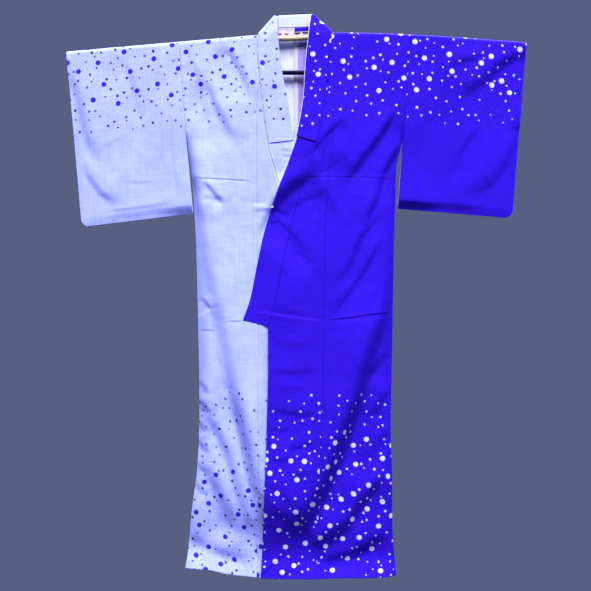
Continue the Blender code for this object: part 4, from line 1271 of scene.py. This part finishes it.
def make_hanger():
    """The rod and the rail; the rail's links keep the part's own solids."""
    rod_line = [(x, 0.0, float(rod_z(x))) for x in np.linspace(-ROD_HALF, ROD_HALF, 90)]
    rod = make_curve("rod", [rod_line], ROD_RADIUS, "rod_wood", 8)
    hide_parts("hanging_rod")
    rail_line = [(-RAIL_HALF, 0.0, -RAIL_DROP), (RAIL_HALF, 0.0, -RAIL_DROP)]
    rail = make_curve("rail", [rail_line], PAINTED_RADIUS, "rail_paint", 8)
    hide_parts("lower_rail")
    for name in ("rail_link_left", "rail_link_right"):
        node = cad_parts[name]
        node.data.materials.clear()
        node.data.materials.append(MATERIALS["rail_paint"])


# Camera, light and floor

PIXEL = 0.0028  # metres of the garment's front to a pixel of the photograph
FRAME_PIXELS = 591
VIEW_CENTRE = (0.0028, -0.7222)
DISTANCE = 4.6
FRONT_PLANE = -0.02
SENSOR = 36.0
FLOOR_RADIUS = 1.25
FLOOR_Z = -2.05
# each light's place, target, size, power and colour
LIGHTS = {
    "key": ((0.7, -5.5, 9.65), (0.0, 0.0, -0.75), 5.5, 4400.0, (1.0, 1.0, 1.0)),
    "fill": ((3.0, -3.0, 0.5), (0.0, 0.0, -0.6), 1.6, 32.0, (0.52, 0.60, 1.0)),
    "back_key": ((0.8, 5.6, 7.2), (0.0, 0.0, -0.75), 3.0, 2000.0, (1.0, 1.0, 1.0)),
}
WORLD_COLOUR = (0.45, 0.52, 1.0, 1.0)
WORLD_STRENGTH = 0.22


def add_camera():
    data = bpy.data.cameras.new("camera")
    data.sensor_width = SENSOR
    data.lens = SENSOR * DISTANCE / (PIXEL * FRAME_PIXELS)
    camera = link("camera", data)
    camera.location = (VIEW_CENTRE[0], FRONT_PLANE - DISTANCE, VIEW_CENTRE[1])
    camera.rotation_euler = (math.pi / 2.0, 0.0, 0.0)
    bpy.context.scene.camera = camera


def add_light(name, place, target, size, power, colour):
    data = bpy.data.lights.new(name, "AREA")
    data.shape = "DISK"
    data.size = size
    data.energy = power
    data.color = colour
    light = link(name, data)
    light.location = place
    light.rotation_euler = (Vector(target) - Vector(place)).to_track_quat("-Z", "Y").to_euler()


def add_studio():
    """Soft lights from above and a plain floor, with the colours shown as they are."""
    for name, settings in LIGHTS.items():
        add_light(name, *settings)
    world = bpy.data.worlds.new("studio")
    world.use_nodes = True
    background = world.node_tree.nodes["Background"]
    background.inputs["Color"].default_value = WORLD_COLOUR
    background.inputs["Strength"].default_value = WORLD_STRENGTH
    bpy.context.scene.world = world
    bpy.context.scene.view_settings.view_transform = "Standard"
    bpy.ops.mesh.primitive_circle_add(vertices=96, radius=FLOOR_RADIUS, fill_type="NGON",
                                      location=(0.0, 0.0, FLOOR_Z))
    floor = bpy.context.object
    floor.name = "floor"
    floor.data.materials.append(make_floor())


for half in (PALE, BLUE):
    make_body(half)
    make_okumi(half)
    make_sleeve(half)
    make_collar(half)
    make_over_collar(half)
make_neck_pieces()
make_stitches()
make_centre_strip()
make_edge_line()
make_tack()
make_hanger()
add_camera()
add_studio()
